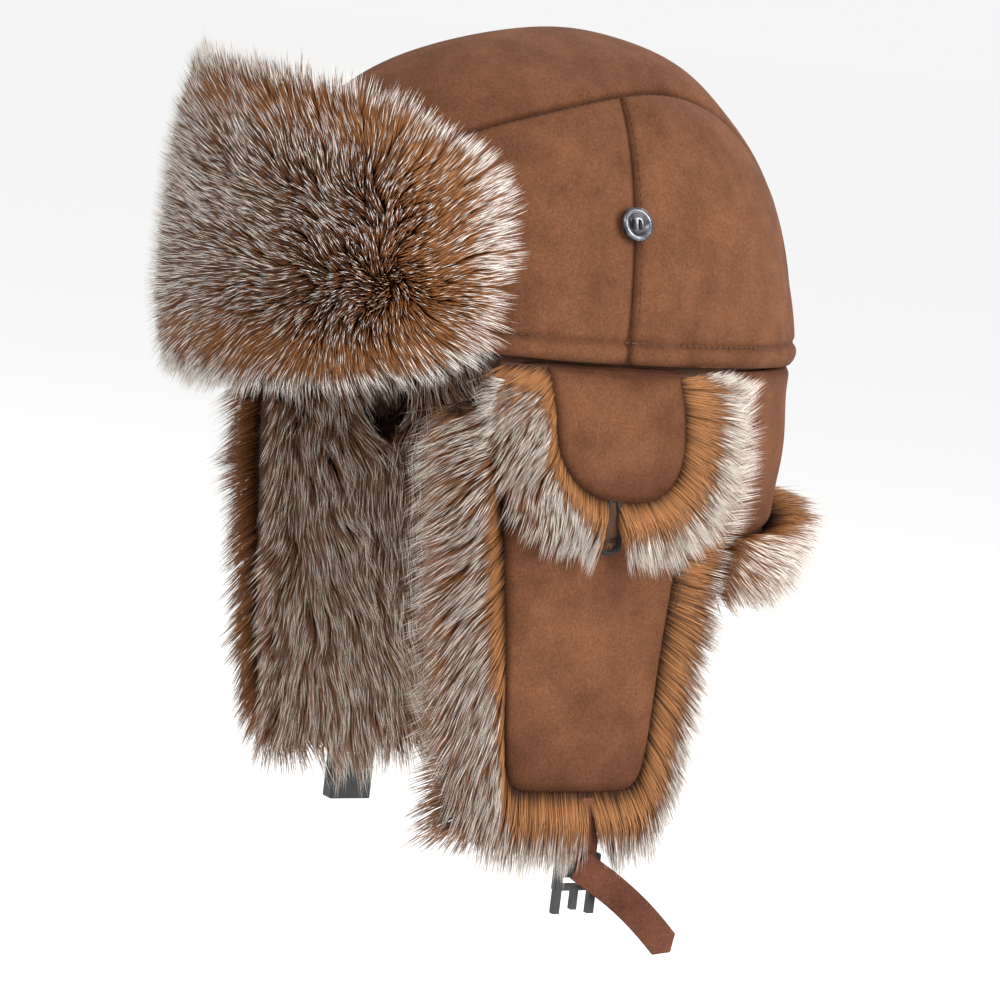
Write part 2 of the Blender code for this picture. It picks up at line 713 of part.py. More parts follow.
def turned(name, outline, steps):
    """A turned piece: a profile, outer side from top to bottom, with a Screw modifier applied."""
    mesh = bpy.data.meshes.new(name)
    points = [(x, 0.0, z) for x, z in outline]
    mesh.from_pydata(points, [(i, i + 1) for i in range(len(points) - 1)], [])
    guide = bpy.data.objects.new(f"{name}_profile", mesh)
    CUTTERS.objects.link(guide)
    screw = guide.modifiers.new("turn", "SCREW")
    screw.steps = steps
    screw.render_steps = steps
    screw.use_merge_vertices = True
    screw.merge_threshold = 1.0e-6
    depsgraph = bpy.context.evaluated_depsgraph_get()
    result = bpy.data.meshes.new_from_object(guide.evaluated_get(depsgraph))
    bpy.data.objects.remove(guide, do_unlink=True)
    bm = bmesh.new()
    bm.from_mesh(result)
    bmesh.ops.remove_doubles(bm, verts=bm.verts[:], dist=1.0e-6)
    return mesh_from(bm, name)


def thread_shank(place, spots):
    """The sewing thread: four legs through the holes, two stitches on top, and a wound shank."""
    radius = THREAD_RADIUS
    top = BUTTON_SHANK + BUTTON_THICK * 0.62 + GAP * 1.5
    base = 0.0006
    low, high = (BUTTON_SHANK + base) / 2, top + radius * 0.4
    middle = Matrix.Translation((0.0, 0.0, (BUTTON_SHANK + base - GAP) / 2))
    disc = rod_mesh(0.0024, BUTTON_SHANK - base - GAP, 12, place @ middle)
    thread = add_object("button_thread_left", mesh_from(disc, "button_thread_left"), BLACK, 0.9)
    for side in (-1, 1):
        ends = [s for s in spots if s[0] * side > 0]
        for index, (x, y) in enumerate(ends):
            stand = place @ Matrix.Translation((x, y, (high + low) / 2))
            leg = rod_mesh(radius, high - low, 6, stand)
            boolean(thread, cutter(f"cutter_leg_{side}_{index}", leg), "UNION")
        length = abs(ends[0][1] - ends[1][1]) + radius * 3
        lie = Matrix.Rotation(math.pi / 2, 4, "X")
        over = place @ Matrix.Translation((ends[0][0], 0.0, top + radius * 1.2))
        stitch = rod_mesh(radius * 1.2, length, 8, over @ lie)
        boolean(thread, cutter(f"cutter_stitch_{side}", stitch), "UNION")
    return thread


# ---------------------------------------------------------------- straps and buckle

def ribbon(name, path, width, middle):
    """A flat strap: a strip along a path in the XZ plane, given its thickness by Solidify."""
    bm = bmesh.new()
    bmesh.ops.create_grid(bm, x_segments=1, y_segments=len(path) - 1, size=1.0)
    for vert in bm.verts:
        x, z = path[round((vert.co.y + 1.0) / 2.0 * (len(path) - 1))]
        vert.co = Vector((x, middle + vert.co.x * width / 2, z))
    mesh = bpy.data.meshes.new(name)
    bm.to_mesh(mesh)
    bm.free()
    thing = add_object(name, mesh, SUEDE_BROWN, 0.9)
    thick = thing.modifiers.new("thickness", "SOLIDIFY")
    thick.thickness = STRAP_THICK
    thick.offset = 0.0
    thick.use_even_offset = True
    return thing


def lane(deep):
    """How far the middle of the strap runs from the middle of a buckle half that is `deep` each way."""
    return deep + STRAP_THICK / 2 + 0.0004


def straps():
    """On each side a short stay sewn to the flap, and a strap that hangs from it with its buckle half."""
    front = HALF_WIDTH + STRAP_OUT
    stay = [(front - 0.0006, FLAP_BOTTOM - 2 * GAP), (front, -0.162), (front, STRAP_PIVOT + GAP)]
    first = ribbon("strap_stay_left", stay, STRAP_WIDTH, STRAP_MIDDLE)
    mirrored(first, "strap_stay_right")

    top = STRAP_PIVOT - GAP
    slot_one = STRAP_PIVOT - SLOT_DROP
    slot_two = slot_one - SLOT_PITCH
    back = front - 2 * lane(PLUG_DEEP)
    tail = front + STRAP_THICK + 0.0003
    loop = [(front, top), (front, slot_one), (back, slot_one), (back, slot_two), (tail + 0.0003, slot_two)]
    strap = ribbon("chin_strap_left", loop, STRAP_WIDTH, STRAP_MIDDLE)
    boolean(strap, tail_cutter(tail, slot_two - 0.0016), "UNION")
    plug(front - lane(PLUG_DEEP), slot_one, slot_two)

    back = front - 2 * lane(SOCKET_DEEP)
    held = [(-front, top), (-front, slot_one), (-back, slot_one), (-back, slot_one + 0.0050)]
    ribbon("chin_strap_right", held, STRAP_WIDTH, STRAP_MIDDLE)
    socket(-(front - lane(SOCKET_DEEP)), slot_one)


def tail_cutter(x, z):
    """The strap's loose tail with its pointed end: a flat outline, pushed to the strap's thickness."""
    length, half, square = TAIL_LENGTH, STRAP_WIDTH / 2, TAIL_LENGTH - TAIL_POINT
    curve = bpy.data.curves.new("tail", "CURVE")
    curve.dimensions = "2D"
    curve.fill_mode = "BOTH"
    curve.extrude = STRAP_THICK / 2
    outline = [(-0.004, -half), (square, -half), (length, 0.0), (square, half), (-0.004, half)]
    spline = curve.splines.new("POLY")
    spline.points.add(len(outline) - 1)
    for point, place in zip(spline.points, outline):
        point.co = (*place, 0.0, 1.0)
    spline.use_cyclic_u = True
    guide = bpy.data.objects.new("tail_guide", curve)
    CUTTERS.objects.link(guide)
    depsgraph = bpy.context.evaluated_depsgraph_get()
    mesh = bpy.data.meshes.new_from_object(guide.evaluated_get(depsgraph))
    bpy.data.objects.remove(guide, do_unlink=True)
    stand = Matrix(((0.0, 0.0, 1.0), (1.0, 0.0, 0.0), (0.0, 1.0, 0.0))).to_4x4()
    droop = Matrix.Rotation(math.radians(-TAIL_DROOP), 4, "X")
    mesh.transform(Matrix.Translation((x, STRAP_MIDDLE - 0.001, z)) @ droop @ stand)
    bm = bmesh.new()
    bm.from_mesh(mesh)
    bmesh.ops.remove_doubles(bm, verts=bm.verts[:], dist=1.0e-6)
    return cutter("cutter_tail", bm)


def plastic(name, low, high):
    """A block of black plastic with softened edges."""
    thing = add_object(name, mesh_from(box_mesh(low, high), name, smooth=False), BLACK, 0.4)
    edge = thing.modifiers.new("soft edges", "BEVEL")
    edge.width = 0.0006
    edge.segments = 2
    edge.limit_method = "ANGLE"
    return thing


def block(spot, half):
    """A box given by its middle and its half sizes."""
    low = [m - h for m, h in zip(spot, half)]
    high = [m + h for m, h in zip(spot, half)]
    return box_mesh(low, high)


def slot_cutter(name, x, z):
    """The slot of a buckle half that the strap runs through."""
    return cutter(name, block((x, STRAP_MIDDLE, z), (0.01, SLOT_WIDTH / 2, SLOT_HEIGHT / 2)))


def plug(x, slot_one, slot_two):
    """The male half of the buckle on the left: two strap slots, two spring arms and a guide."""
    half, deep, y = BUCKLE_WIDTH / 2, PLUG_DEEP, STRAP_MIDDLE
    low = slot_two - BUCKLE_HEAD
    top = slot_one + BUCKLE_HEAD
    thing = plastic("buckle_plug_left", (x - deep, y - half, low), (x + deep, y + half, top))
    boolean(thing, slot_cutter("cutter_plug_slot_high", x, slot_one))
    boolean(thing, slot_cutter("cutter_plug_slot_low", x, slot_two))
    arm_half, guide_half, sunk = 0.0014, 0.0012, 0.001
    arm_length, guide_length = 0.0085, 0.0070
    spread = half - 0.0004 - arm_half
    arms = [
        ("front", -spread, arm_half, arm_length),
        ("rear", spread, arm_half, arm_length),
        ("guide", 0.0, guide_half, guide_length),
    ]
    for part, aside, width, length in arms:
        middle = (x, y + aside, low + (sunk - length) / 2)
        arm = block(middle, (deep * 0.7, width, (sunk + length) / 2))
        boolean(thing, cutter(f"cutter_arm_{part}", arm), "UNION")


def socket(x, slot_one):
    """The female half of the buckle on the right: a strap slot above a hollow with an open mouth."""
    half, deep, y = BUCKLE_WIDTH / 2, SOCKET_DEEP, STRAP_MIDDLE
    top = slot_one + BUCKLE_HEAD
    foot = top - SOCKET_LENGTH
    thing = plastic("buckle_socket_right", (x - deep, y - half, foot), (x + deep, y + half, top))
    boolean(thing, slot_cutter("cutter_socket_slot", x, slot_one))
    inside = deep - SOCKET_WALL
    roof = slot_one - SLOT_HEIGHT / 2 - 0.0022
    mouth = block((x, y, (roof + foot - 0.01) / 2), (inside, half - SOCKET_SIDE, (roof - foot + 0.01) / 2))
    boolean(thing, cutter("cutter_socket_mouth", mouth))
    window = block((x, y, roof - 0.00575), (inside, half + 0.01, 0.00275))
    boolean(thing, cutter("cutter_socket_window", window))


# ---------------------------------------------------------------- joint axes

def joint_marks():
    """Empties on the joint axes, with the pieces that turn on each one as children."""
    front = ["front_flap_shell", "front_flap_wadding", "front_flap_fur"]
    groups = {"axis_front_flap": ((0.0, *FRONT_HINGE), front)}
    for side, sign in (("left", 1.0), ("right", -1.0)):
        flap = [f"ear_flap_{layer}_{side}" for layer in ("shell", "wadding", "fur")] + [f"strap_stay_{side}"]
        cover = [f"ear_cover_{layer}_{side}" for layer in ("shell", "fur", "loop")]
        strap = [f"chin_strap_{side}", "buckle_plug_left" if side == "left" else "buckle_socket_right"]
        strap_x = sign * (HALF_WIDTH + STRAP_OUT)
        groups[f"axis_ear_flap_{side}"] = ((sign * FLAP_HINGE[0], 0.0, FLAP_HINGE[1]), flap)
        groups[f"axis_ear_cover_{side}"] = ((sign * COVER_HINGE[0], 0.0, COVER_HINGE[1]), cover)
        groups[f"axis_chin_strap_{side}"] = ((strap_x, STRAP_MIDDLE, STRAP_PIVOT), strap)
    for name, (spot, members) in groups.items():
        empty = bpy.data.objects.new(name, None)
        empty.empty_display_size = 0.01
        empty.location = spot
        PARTS.objects.link(empty)
        for member in members:
            child = bpy.data.objects[member]
            child.parent = empty
            child.matrix_parent_inverse = Matrix.Translation(spot).inverted()


PARTS, CUTTERS = start_scene()
crown()
ear_flaps()
nape()
ear_covers()
front_flap()
buttons()
straps()
joint_marks()
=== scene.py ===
# %% [markdown]
# # A trapper hat
#
# The hat is sewn from faux suede outside and long faux fur inside. This lesson dresses a finished frame,
# which already fixes every size and every hinge: each piece below is shaped with numpy, given a
# procedural finish, and, but for the ear flap panels and the straps, hung on the body that it moves with.
# Loading the frame comes first, because all sizes are read from it.

# %% Load the frame
import math

import bmesh
import bpy
import numpy as np
from mathutils import Matrix, Vector


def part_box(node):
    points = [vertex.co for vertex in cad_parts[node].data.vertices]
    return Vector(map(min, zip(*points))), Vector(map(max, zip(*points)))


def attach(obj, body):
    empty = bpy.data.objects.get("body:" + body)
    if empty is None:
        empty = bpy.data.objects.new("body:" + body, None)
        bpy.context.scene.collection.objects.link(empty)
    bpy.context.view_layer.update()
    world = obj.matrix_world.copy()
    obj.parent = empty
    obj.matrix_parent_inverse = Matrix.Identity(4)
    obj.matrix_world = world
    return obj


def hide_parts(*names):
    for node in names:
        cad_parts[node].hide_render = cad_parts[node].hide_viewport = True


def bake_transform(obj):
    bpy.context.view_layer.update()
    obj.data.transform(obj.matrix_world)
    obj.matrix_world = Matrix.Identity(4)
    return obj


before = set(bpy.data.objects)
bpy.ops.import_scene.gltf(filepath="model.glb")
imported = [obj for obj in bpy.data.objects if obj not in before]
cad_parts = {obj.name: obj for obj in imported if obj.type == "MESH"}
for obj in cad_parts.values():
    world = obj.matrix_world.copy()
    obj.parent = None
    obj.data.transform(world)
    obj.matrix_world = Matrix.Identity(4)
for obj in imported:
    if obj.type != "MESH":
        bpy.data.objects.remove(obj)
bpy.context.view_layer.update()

HALF_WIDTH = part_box("crown_side_rear_left")[1].x
HALF_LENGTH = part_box("crown_top_panel")[1].y
CROWN_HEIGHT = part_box("crown_top_panel")[1].z
PLAN_POWER = 2.12
APEX_SHIFT = 0.012
print("crown", round(HALF_WIDTH, 4), round(HALF_LENGTH, 4), round(CROWN_HEIGHT, 4))

# %% [markdown]
# ## The oval wall
#
# Crown, flaps and nape all follow one oval wall, as real ones follow the head. A superellipse is used,
# which is a little squarer than an ellipse: |x/a|^p + |y/b|^p = 1. A place on it is an angle (0 at the
# left ear, -90 at the forehead, 90 at the nape), a height, and an offset outwards.

# %% Places on the wall
UP = np.array([0.0, 0.0, 1.0])


def spow(value, power):
    """|value| to a power, with the sign of value."""
    return np.sign(value) * np.abs(value) ** power


def smooth(value):
    """0 below 0, 1 above 1, and 3v^2 - 2v^3 between."""
    value = np.clip(value, 0.0, 1.0)
    return value * value * (3.0 - 2.0 * value)


def mix(a, b, share):
    """The value a share of the way from a to b."""
    return a + (b - a) * share


def unit(vectors):
    """Each vector divided by its own length."""
    return vectors / np.maximum(np.linalg.norm(vectors, axis=-1, keepdims=True), 1e-12)


def outward(degrees):
    """The wall's outward normal in plan, which is the gradient of the superellipse."""
    t = np.radians(degrees)
    nx = spow(np.cos(t), 2.0 - 2.0 / PLAN_POWER) / HALF_WIDTH
    ny = spow(np.sin(t), 2.0 - 2.0 / PLAN_POWER) / HALF_LENGTH
    return unit(np.stack([nx, ny, np.zeros_like(nx)], axis=-1))


def wall(degrees, z, offset=0.0):
    """x = a cos(t)^(2/p), y = b sin(t)^(2/p), moved along the outward normal by offset."""
    degrees, z, offset = np.broadcast_arrays(*(np.asarray(v, float) for v in (degrees, z, offset)))
    t = np.radians(degrees)
    x = HALF_WIDTH * spow(np.cos(t), 2.0 / PLAN_POWER)
    y = HALF_LENGTH * spow(np.sin(t), 2.0 / PLAN_POWER)
    return np.stack([x, y, z], axis=-1) + outward(degrees) * offset[..., None]


def degrees_at(y):
    """The angle on the left side at which the wall reaches a given Y."""
    return np.degrees(np.arcsin(spow(np.clip(y / HALF_LENGTH, -1.0, 1.0), PLAN_POWER / 2.0)))


def beside(y, z, offset=0.0):
    """A point on the left side of the wall at a given Y and height."""
    return wall(degrees_at(y), z, offset)


# %% Meshes from arrays of points
def make_mesh(name, points, faces, uv=None):
    """One mesh from an (n, 3) array and an (m, 3 or 4) array of corners."""
    mesh = bpy.data.meshes.new(name)
    count, corners = faces.shape
    mesh.vertices.add(len(points))
    mesh.vertices.foreach_set("co", np.ascontiguousarray(points, np.float32).ravel())
    mesh.loops.add(count * corners)
    mesh.loops.foreach_set("vertex_index", np.ascontiguousarray(faces, np.int32).ravel())
    mesh.polygons.add(count)
    mesh.polygons.foreach_set("loop_start", np.arange(0, count * corners, corners, dtype=np.int32))
    mesh.update(calc_edges=True)
    if uv is not None:
        layer = mesh.uv_layers.new(name="along")
        layer.data.foreach_set("uv", np.ascontiguousarray(uv, np.float32).ravel())
    mesh.validate()
    return mesh


def grid_faces(rows, columns, wrap=False):
    """The quads of a grid of points, closed round in the column direction if wrap is set."""
    index = np.arange(rows * columns).reshape(rows, columns)
    if wrap:
        index = np.concatenate([index, index[:, :1]], axis=1)
    return np.stack([index[:-1, :-1], index[:-1, 1:], index[1:, 1:], index[1:, :-1]], axis=-1).reshape(-1, 4)


def tidy_mesh(mesh):
    """Merge doubled points, then turn all faces outwards: a closed skin inside out has a negative volume."""
    bm = bmesh.new()
    bm.from_mesh(mesh)
    bmesh.ops.remove_doubles(bm, verts=bm.verts[:], dist=2e-6)
    bmesh.ops.recalc_face_normals(bm, faces=bm.faces[:])
    if bm.calc_volume(signed=True) < 0.0:
        bmesh.ops.reverse_faces(bm, faces=bm.faces[:])
    bm.to_mesh(mesh)
    bm.free()
    mesh.shade_smooth()


def thin(grid, step, wrap):
    """Every step-th row and column of a grid, with its last row and, unless it closes round, its last
    column.
    """
    rows = np.unique(np.append(np.arange(0, grid.shape[0], step), grid.shape[0] - 1))
    columns = np.arange(0, grid.shape[1], step)
    if not wrap:
        columns = np.unique(np.append(columns, grid.shape[1] - 1))
    return grid[rows][:, columns]


def shell_mesh(name, outer, inner, wrap=False, painted_shade=None, step=1):
    """Two point grids of one size, joined round their free edges into one closed skin.

    Painted shade, from 0 to 1 on the same grid, is kept with the points for the finish to read. step thins
    both grids.
    """
    outer, inner = thin(outer, step, wrap), thin(inner, step, wrap)
    if painted_shade is not None:
        painted_shade = thin(painted_shade, step, wrap)
    rows, columns = outer.shape[:2]
    size = rows * columns
    face = grid_faces(rows, columns, wrap)
    index = np.arange(size).reshape(rows, columns)
    rims = [index[0], index[-1]]
    if not wrap:
        rims += [index[:, 0], index[:, -1]]
    walls = [face, face[:, ::-1] + size]
    for rim in rims:
        if wrap:
            rim = np.append(rim, rim[0])
        walls.append(np.stack([rim[:-1], rim[1:], rim[1:] + size, rim[:-1] + size], axis=-1))
    points = np.concatenate([outer.reshape(-1, 3), inner.reshape(-1, 3)])
    mesh = make_mesh(name, points, np.concatenate(walls))
    if painted_shade is not None:
        layer = mesh.attributes.new("painted_shade", "FLOAT", "POINT")
        layer.data.foreach_set("value", np.tile(np.clip(painted_shade, 0.0, 1.0).ravel(), 2).astype(np.float32))
    tidy_mesh(mesh)
    return mesh


def normals(points):
    """Normals of a grid of points: the cross product of its two slopes."""
    down, across = np.gradient(points, axis=0), np.gradient(points, axis=1)
    return unit(np.cross(across, down))


def piece(name, mesh, material, body, hides=()):
    """Put a mesh in the scene with its finish, its body and the frame nodes it stands
    for.
    """
    thing = bpy.data.objects.new(name, mesh)
    bpy.context.scene.collection.objects.link(thing)
    mesh.materials.append(material)
    if body:
        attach(thing, body)
    if hides:
        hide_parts(*hides)
    return thing


# %% [markdown]
# ## Camera, floor and light
#
# A long lens from the left front, a little above the brim line. The hat leans a few degrees in the frame,
# so the camera is rolled the other way. The floor is far below, because a head or a stand holds the hat
# up.

# %% Camera
AZIMUTH, ELEVATION, ROLL = math.radians(59.1), math.radians(7.5), math.radians(6.7)
DISTANCE, LENS = 1.405, 136.6
SIDEWAYS, RAISED = -0.007, 0.062

look = -Vector((math.sin(AZIMUTH) * math.cos(ELEVATION), -math.cos(AZIMUTH) * math.cos(ELEVATION),
                math.sin(ELEVATION)))
right = Vector((math.cos(AZIMUTH), math.sin(AZIMUTH), 0.0))
above = right.cross(look)
camera_data = bpy.data.cameras.new("camera")
camera_data.lens = LENS
camera_data.sensor_width = 36.0
camera_data.clip_start = 0.05
camera_data.clip_end = 200.0
camera = bpy.data.objects.new("camera", camera_data)
bpy.context.scene.collection.objects.link(camera)
axes = Matrix((right, above, -look)).transposed().to_4x4()
camera.matrix_world = (Matrix.Translation(-look * DISTANCE - right * SIDEWAYS - above * RAISED) @ axes
                       @ Matrix.Rotation(ROLL, 4, "Z"))
bpy.context.scene.camera = camera
print("camera", [round(v, 3) for v in camera.matrix_world.translation])

# %% Floor and lights
FLOOR_Z = -0.30


def plain(name, colour, roughness):
    """One even colour without gloss, for the floor."""
    material = bpy.data.materials.new(name)
    material.use_nodes = True
    shader = material.node_tree.nodes["Principled BSDF"]
    shader.inputs["Base Color"].default_value = (*colour, 1.0)
    shader.inputs["Roughness"].default_value = roughness
    shader.inputs["Specular IOR Level"].default_value = 0.0
    return material


FLOOR_HALF = 40.0
floor_points = np.array([[-1.0, -1.0], [1.0, -1.0], [1.0, 1.0], [-1.0, 1.0]]) * FLOOR_HALF
floor_points = np.column_stack([floor_points, np.full(4, FLOOR_Z)])
floor = bpy.data.objects.new("floor", make_mesh("floor", floor_points, np.array([[0, 1, 2, 3]])))
floor.data.materials.append(plain("floor", (0.99, 0.99, 0.99), 1.0))
bpy.context.scene.collection.objects.link(floor)

world = bpy.data.worlds.new("studio")
world.use_nodes = True
world.node_tree.nodes["Background"].inputs["Color"].default_value = (1.0, 1.0, 1.0, 1.0)
world.node_tree.nodes["Background"].inputs["Strength"].default_value = 0.92
bpy.context.scene.world = world
bpy.context.scene.view_settings.view_transform = "Standard"


def softbox(name, place, target, size, watts):
    """A square area light turned to face a point."""
    data = bpy.data.lights.new(name, "AREA")
    data.size = size
    data.energy = watts
    lamp = bpy.data.objects.new(name, data)
    bpy.context.scene.collection.objects.link(lamp)
    lamp.location = place
    lamp.rotation_euler = (Vector(target) - Vector(place)).to_track_quat("-Z", "Y").to_euler()


softbox("key_light", (0.55, -1.15, 1.05), (0.0, 0.0, 0.0), 0.7, 6.5)
softbox("side_light", (1.30, 0.35, 0.45), (0.0, 0.0, -0.02), 0.8, 21.0)
softbox("rim_light", (-0.60, 1.00, 0.80), (0.0, 0.0, 0.0), 0.7, 6.5)

# %% [markdown]
# ## Finishes
#
# Faux suede is matt, with a nap that catches light in soft blotches and a very fine grain. Faux fur is
# one colour ramp from root to tip, since every hair is dyed in bands: orange-brown middle and cream tip,
# with a dark root that is partly dye and partly painted shadow deep in the pile.

# %% Node helpers
def start_finish(name, roughness, metallic=0.0, sheen=0.0, specular=0.5):
    """A Principled material with its plain values set on the shader's own sockets."""
    material = bpy.data.materials.new(name)
    material.use_nodes = True
    tree = material.node_tree
    shader = tree.nodes["Principled BSDF"]
    shader.inputs["Roughness"].default_value = roughness
    shader.inputs["Metallic"].default_value = metallic
    shader.inputs["Sheen Weight"].default_value = sheen
    shader.inputs["Specular IOR Level"].default_value = specular
    return material, tree, shader


def noise(tree, scale, detail=3.0, roughness=0.5, stretch=(1.0, 1.0, 1.0)):
    """Cloudy noise on Object coordinates, its scale in blobs a metre."""
    place = tree.nodes.new("ShaderNodeTexCoord")
    mapping = tree.nodes.new("ShaderNodeMapping")
    mapping.inputs["Scale"].default_value = stretch
    texture = tree.nodes.new("ShaderNodeTexNoise")
    texture.inputs["Scale"].default_value = scale
    texture.inputs["Detail"].default_value = detail
    texture.inputs["Roughness"].default_value = roughness
    tree.links.new(place.outputs["Object"], mapping.inputs["Vector"])
    tree.links.new(mapping.outputs["Vector"], texture.inputs["Vector"])
    return texture.outputs["Fac"]


def ramp(tree, value, stops):
    """A colour ramp: each stop is a position and a colour."""
    node = tree.nodes.new("ShaderNodeValToRGB")
    elements = node.color_ramp.elements
    while len(elements) < len(stops):
        elements.new(0.5)
    for element, (position, colour) in zip(elements, stops):
        element.position = position
        element.color = (*colour, 1.0)
    tree.links.new(value, node.inputs["Fac"])
    return node.outputs["Color"]


def blend_colours(tree, kind, share, first, second):
    """Mix two colours by a share, with a blend mode."""
    node = tree.nodes.new("ShaderNodeMix")
    node.data_type = "RGBA"
    node.blend_type = kind
    if isinstance(share, float):
        node.inputs["Factor"].default_value = share
    else:
        tree.links.new(share, node.inputs["Factor"])
    tree.links.new(first, node.inputs["A"])
    tree.links.new(second, node.inputs["B"])
    return node.outputs["Result"]


def bump(tree, shader, height, strength, distance):
    """Let a height pattern tilt the shading normal."""
    node = tree.nodes.new("ShaderNodeBump")
    node.inputs["Strength"].default_value = strength
    node.inputs["Distance"].default_value = distance
    tree.links.new(height, node.inputs["Height"])
    tree.links.new(node.outputs["Normal"], shader.inputs["Normal"])


# %% Faux suede
def suede(name, dark, light):
    """Blotches of brushed nap 5 to 20 mm wide over a grain of about a millimetre, with painted shade that
    darkens the colour where the mesh's shade attribute is high.
    """
    material, tree, shader = start_finish(name, roughness=0.93, sheen=0.20, specular=0.15)
    shader.inputs["Sheen Roughness"].default_value = 0.5
    shader.inputs["Sheen Tint"].default_value = (*light, 1.0)
    nap = ramp(tree, noise(tree, 46.0, 6.0, 0.66), [(0.32, dark), (0.70, light)])
    grain = ramp(tree, noise(tree, 1050.0, 4.0, 0.7), [(0.30, (0.30, 0.28, 0.26)), (0.68, (1.0, 1.0, 1.0))])
    colour = blend_colours(tree, "MULTIPLY", 0.62, nap, grain)
    # Painted shade: the mesh's shade attribute darkens the colour, down to 0.42 of it where it reaches 1.
    painted_shade = tree.nodes.new("ShaderNodeAttribute")
    painted_shade.attribute_name = "painted_shade"
    shade = ramp(tree, painted_shade.outputs["Fac"], [(0.0, (1.0, 1.0, 1.0)), (1.0, (0.42, 0.36, 0.33))])
    tree.links.new(blend_colours(tree, "MULTIPLY", 1.0, colour, shade), shader.inputs["Base Color"])
    bump(tree, shader, noise(tree, 1100.0, 4.0, 0.7), 0.55, 0.0005)
    return material


SUEDE = suede("brown_suede", (0.108, 0.041, 0.0185), (0.194, 0.078, 0.037))
STRAP_SUEDE = suede("strap_suede", (0.080, 0.026, 0.015), (0.165, 0.060, 0.033))


# %% Faux fur
def fur(name, root, middle, band, tip, tip_from=0.80):
    """The colour of a hair by its height (V of its UV map).

    U is a number of the hair's own. Its third tells the kind: dark, golden or pale-tipped. White noise made
    from U gives each hair its own brightness, and moves its bands up or down a little. A pale tip starts at
    tip_from.
    """
    material, tree, shader = start_finish(name, roughness=0.50, sheen=0.0, specular=0.30)
    along = tree.nodes.new("ShaderNodeUVMap")
    along.uv_map = "along"
    split = tree.nodes.new("ShaderNodeSeparateXYZ")
    tree.links.new(along.outputs["UV"], split.inputs["Vector"])
    dice = tree.nodes.new("ShaderNodeTexWhiteNoise")
    dice.noise_dimensions = "1D"
    tree.links.new(split.outputs["X"], dice.inputs["W"])
    shift = tree.nodes.new("ShaderNodeMath")
    shift.operation = "MULTIPLY_ADD"
    shift.inputs[1].default_value = 0.24
    tree.links.new(dice.outputs["Value"], shift.inputs[0])
    tree.links.new(split.outputs["Y"], shift.inputs[2])
    level = tree.nodes.new("ShaderNodeMath")
    level.operation = "SUBTRACT"
    level.inputs[1].default_value = 0.12
    tree.links.new(shift.outputs[0], level.inputs[0])
    pale = ramp(tree, level.outputs[0],
                [(0.04, root), (0.28, middle), (tip_from - 0.24, middle), (tip_from - 0.13, band),
                 (tip_from, tip), (0.98, tip)])
    golden = ramp(tree, level.outputs[0], [(0.04, root), (0.26, middle), (0.80, middle), (1.0, band)])
    deep = tuple(0.75 * c for c in middle)
    dark = ramp(tree, level.outputs[0], [(0.04, root), (0.28, deep), (0.55, deep), (0.74, band), (1.0, root)])
    black, white = (0.0, 0.0, 0.0), (1.0, 1.0, 1.0)
    not_dark = ramp(tree, split.outputs["X"], [(0.330, black), (0.336, white)])
    is_pale = ramp(tree, split.outputs["X"], [(0.663, black), (0.669, white)])
    own = ramp(tree, dice.outputs["Value"], [(0.0, (0.66, 0.64, 0.62)), (1.0, (1.0, 1.0, 1.0))])
    colour = blend_colours(tree, "MIX", not_dark, dark, golden)
    colour = blend_colours(tree, "MIX", is_pale, colour, pale)
    tree.links.new(blend_colours(tree, "MULTIPLY", 0.9, colour, own), shader.inputs["Base Color"])
    return material


# The dark root colour is partly the fur's own and partly painted shadow deep in the pile.
FUR = fur("tipped_fur", (0.070, 0.032, 0.019), (0.39, 0.168, 0.058), (0.200, 0.105, 0.068), (1.0, 0.91, 0.82))
# Partly painted shadow: the front pad's fur has a darker root and band, for a centre that is partly dark hair
# and partly shadow between the hairs.
PAD_FUR = fur("front_pad_fur", (0.050, 0.024, 0.016), (0.43, 0.180, 0.058), (0.125, 0.068, 0.048),
              (1.0, 0.93, 0.86), tip_from=0.82)
# Painted light: the lining fur is a lighter copy of the outer fur, so that it looks lit inside the flaps and
# the nape.
PAINTED_LIGHT_LINING_FUR = fur("tipped_lining_fur", (0.090, 0.048, 0.030), (0.44, 0.225, 0.115), (0.28, 0.160, 0.100),
               (1.0, 0.90, 0.80))


def cloth(name, colour, roughness, scale, depth, specular=0.3):
    """A plain cloth: one colour with an uneven dye and a fine raised grain."""
    material, tree, shader = start_finish(name, roughness=roughness, specular=specular)
    darker = tuple(c * 0.72 for c in colour)
    tree.links.new(ramp(tree, noise(tree, scale * 0.3, 3.0), [(0.3, darker), (0.7, colour)]),
                   shader.inputs["Base Color"])
    bump(tree, shader, noise(tree, scale, 3.0), 0.5, depth)
    return material


FUR_BACKING = cloth("fur_backing", (0.075, 0.036, 0.020), 1.0, 900.0, 0.0006)
SATIN = cloth("quilted_satin", (0.100, 0.052, 0.032), 0.34, 700.0, 0.0002, 0.6)
TAPE = cloth("sweatband_tape", (0.020, 0.018, 0.018), 0.8, 1500.0, 0.0004)
THREAD = cloth("brown_thread", (0.100, 0.044, 0.022), 0.8, 3000.0, 0.0001)
BLACK_THREAD = cloth("black_thread", (0.016, 0.014, 0.014), 0.7, 3000.0, 0.0001)
ELASTIC = cloth("covered_elastic", (0.016, 0.015, 0.016), 0.75, 2600.0, 0.0002)
PLASTIC = cloth("moulded_plastic", (0.014, 0.014, 0.015), 0.42, 1800.0, 0.00006, 0.5)

# %% [markdown]
# ## The crown
#
# A centre strip runs from the forehead over the top to the nape. Two panels fill each side and meet in a
# seam above the ear. Each panel is a grid whose own edges are the seams, so a seam can be pressed in by
# distance from the edge, and its stitching follows the grid.

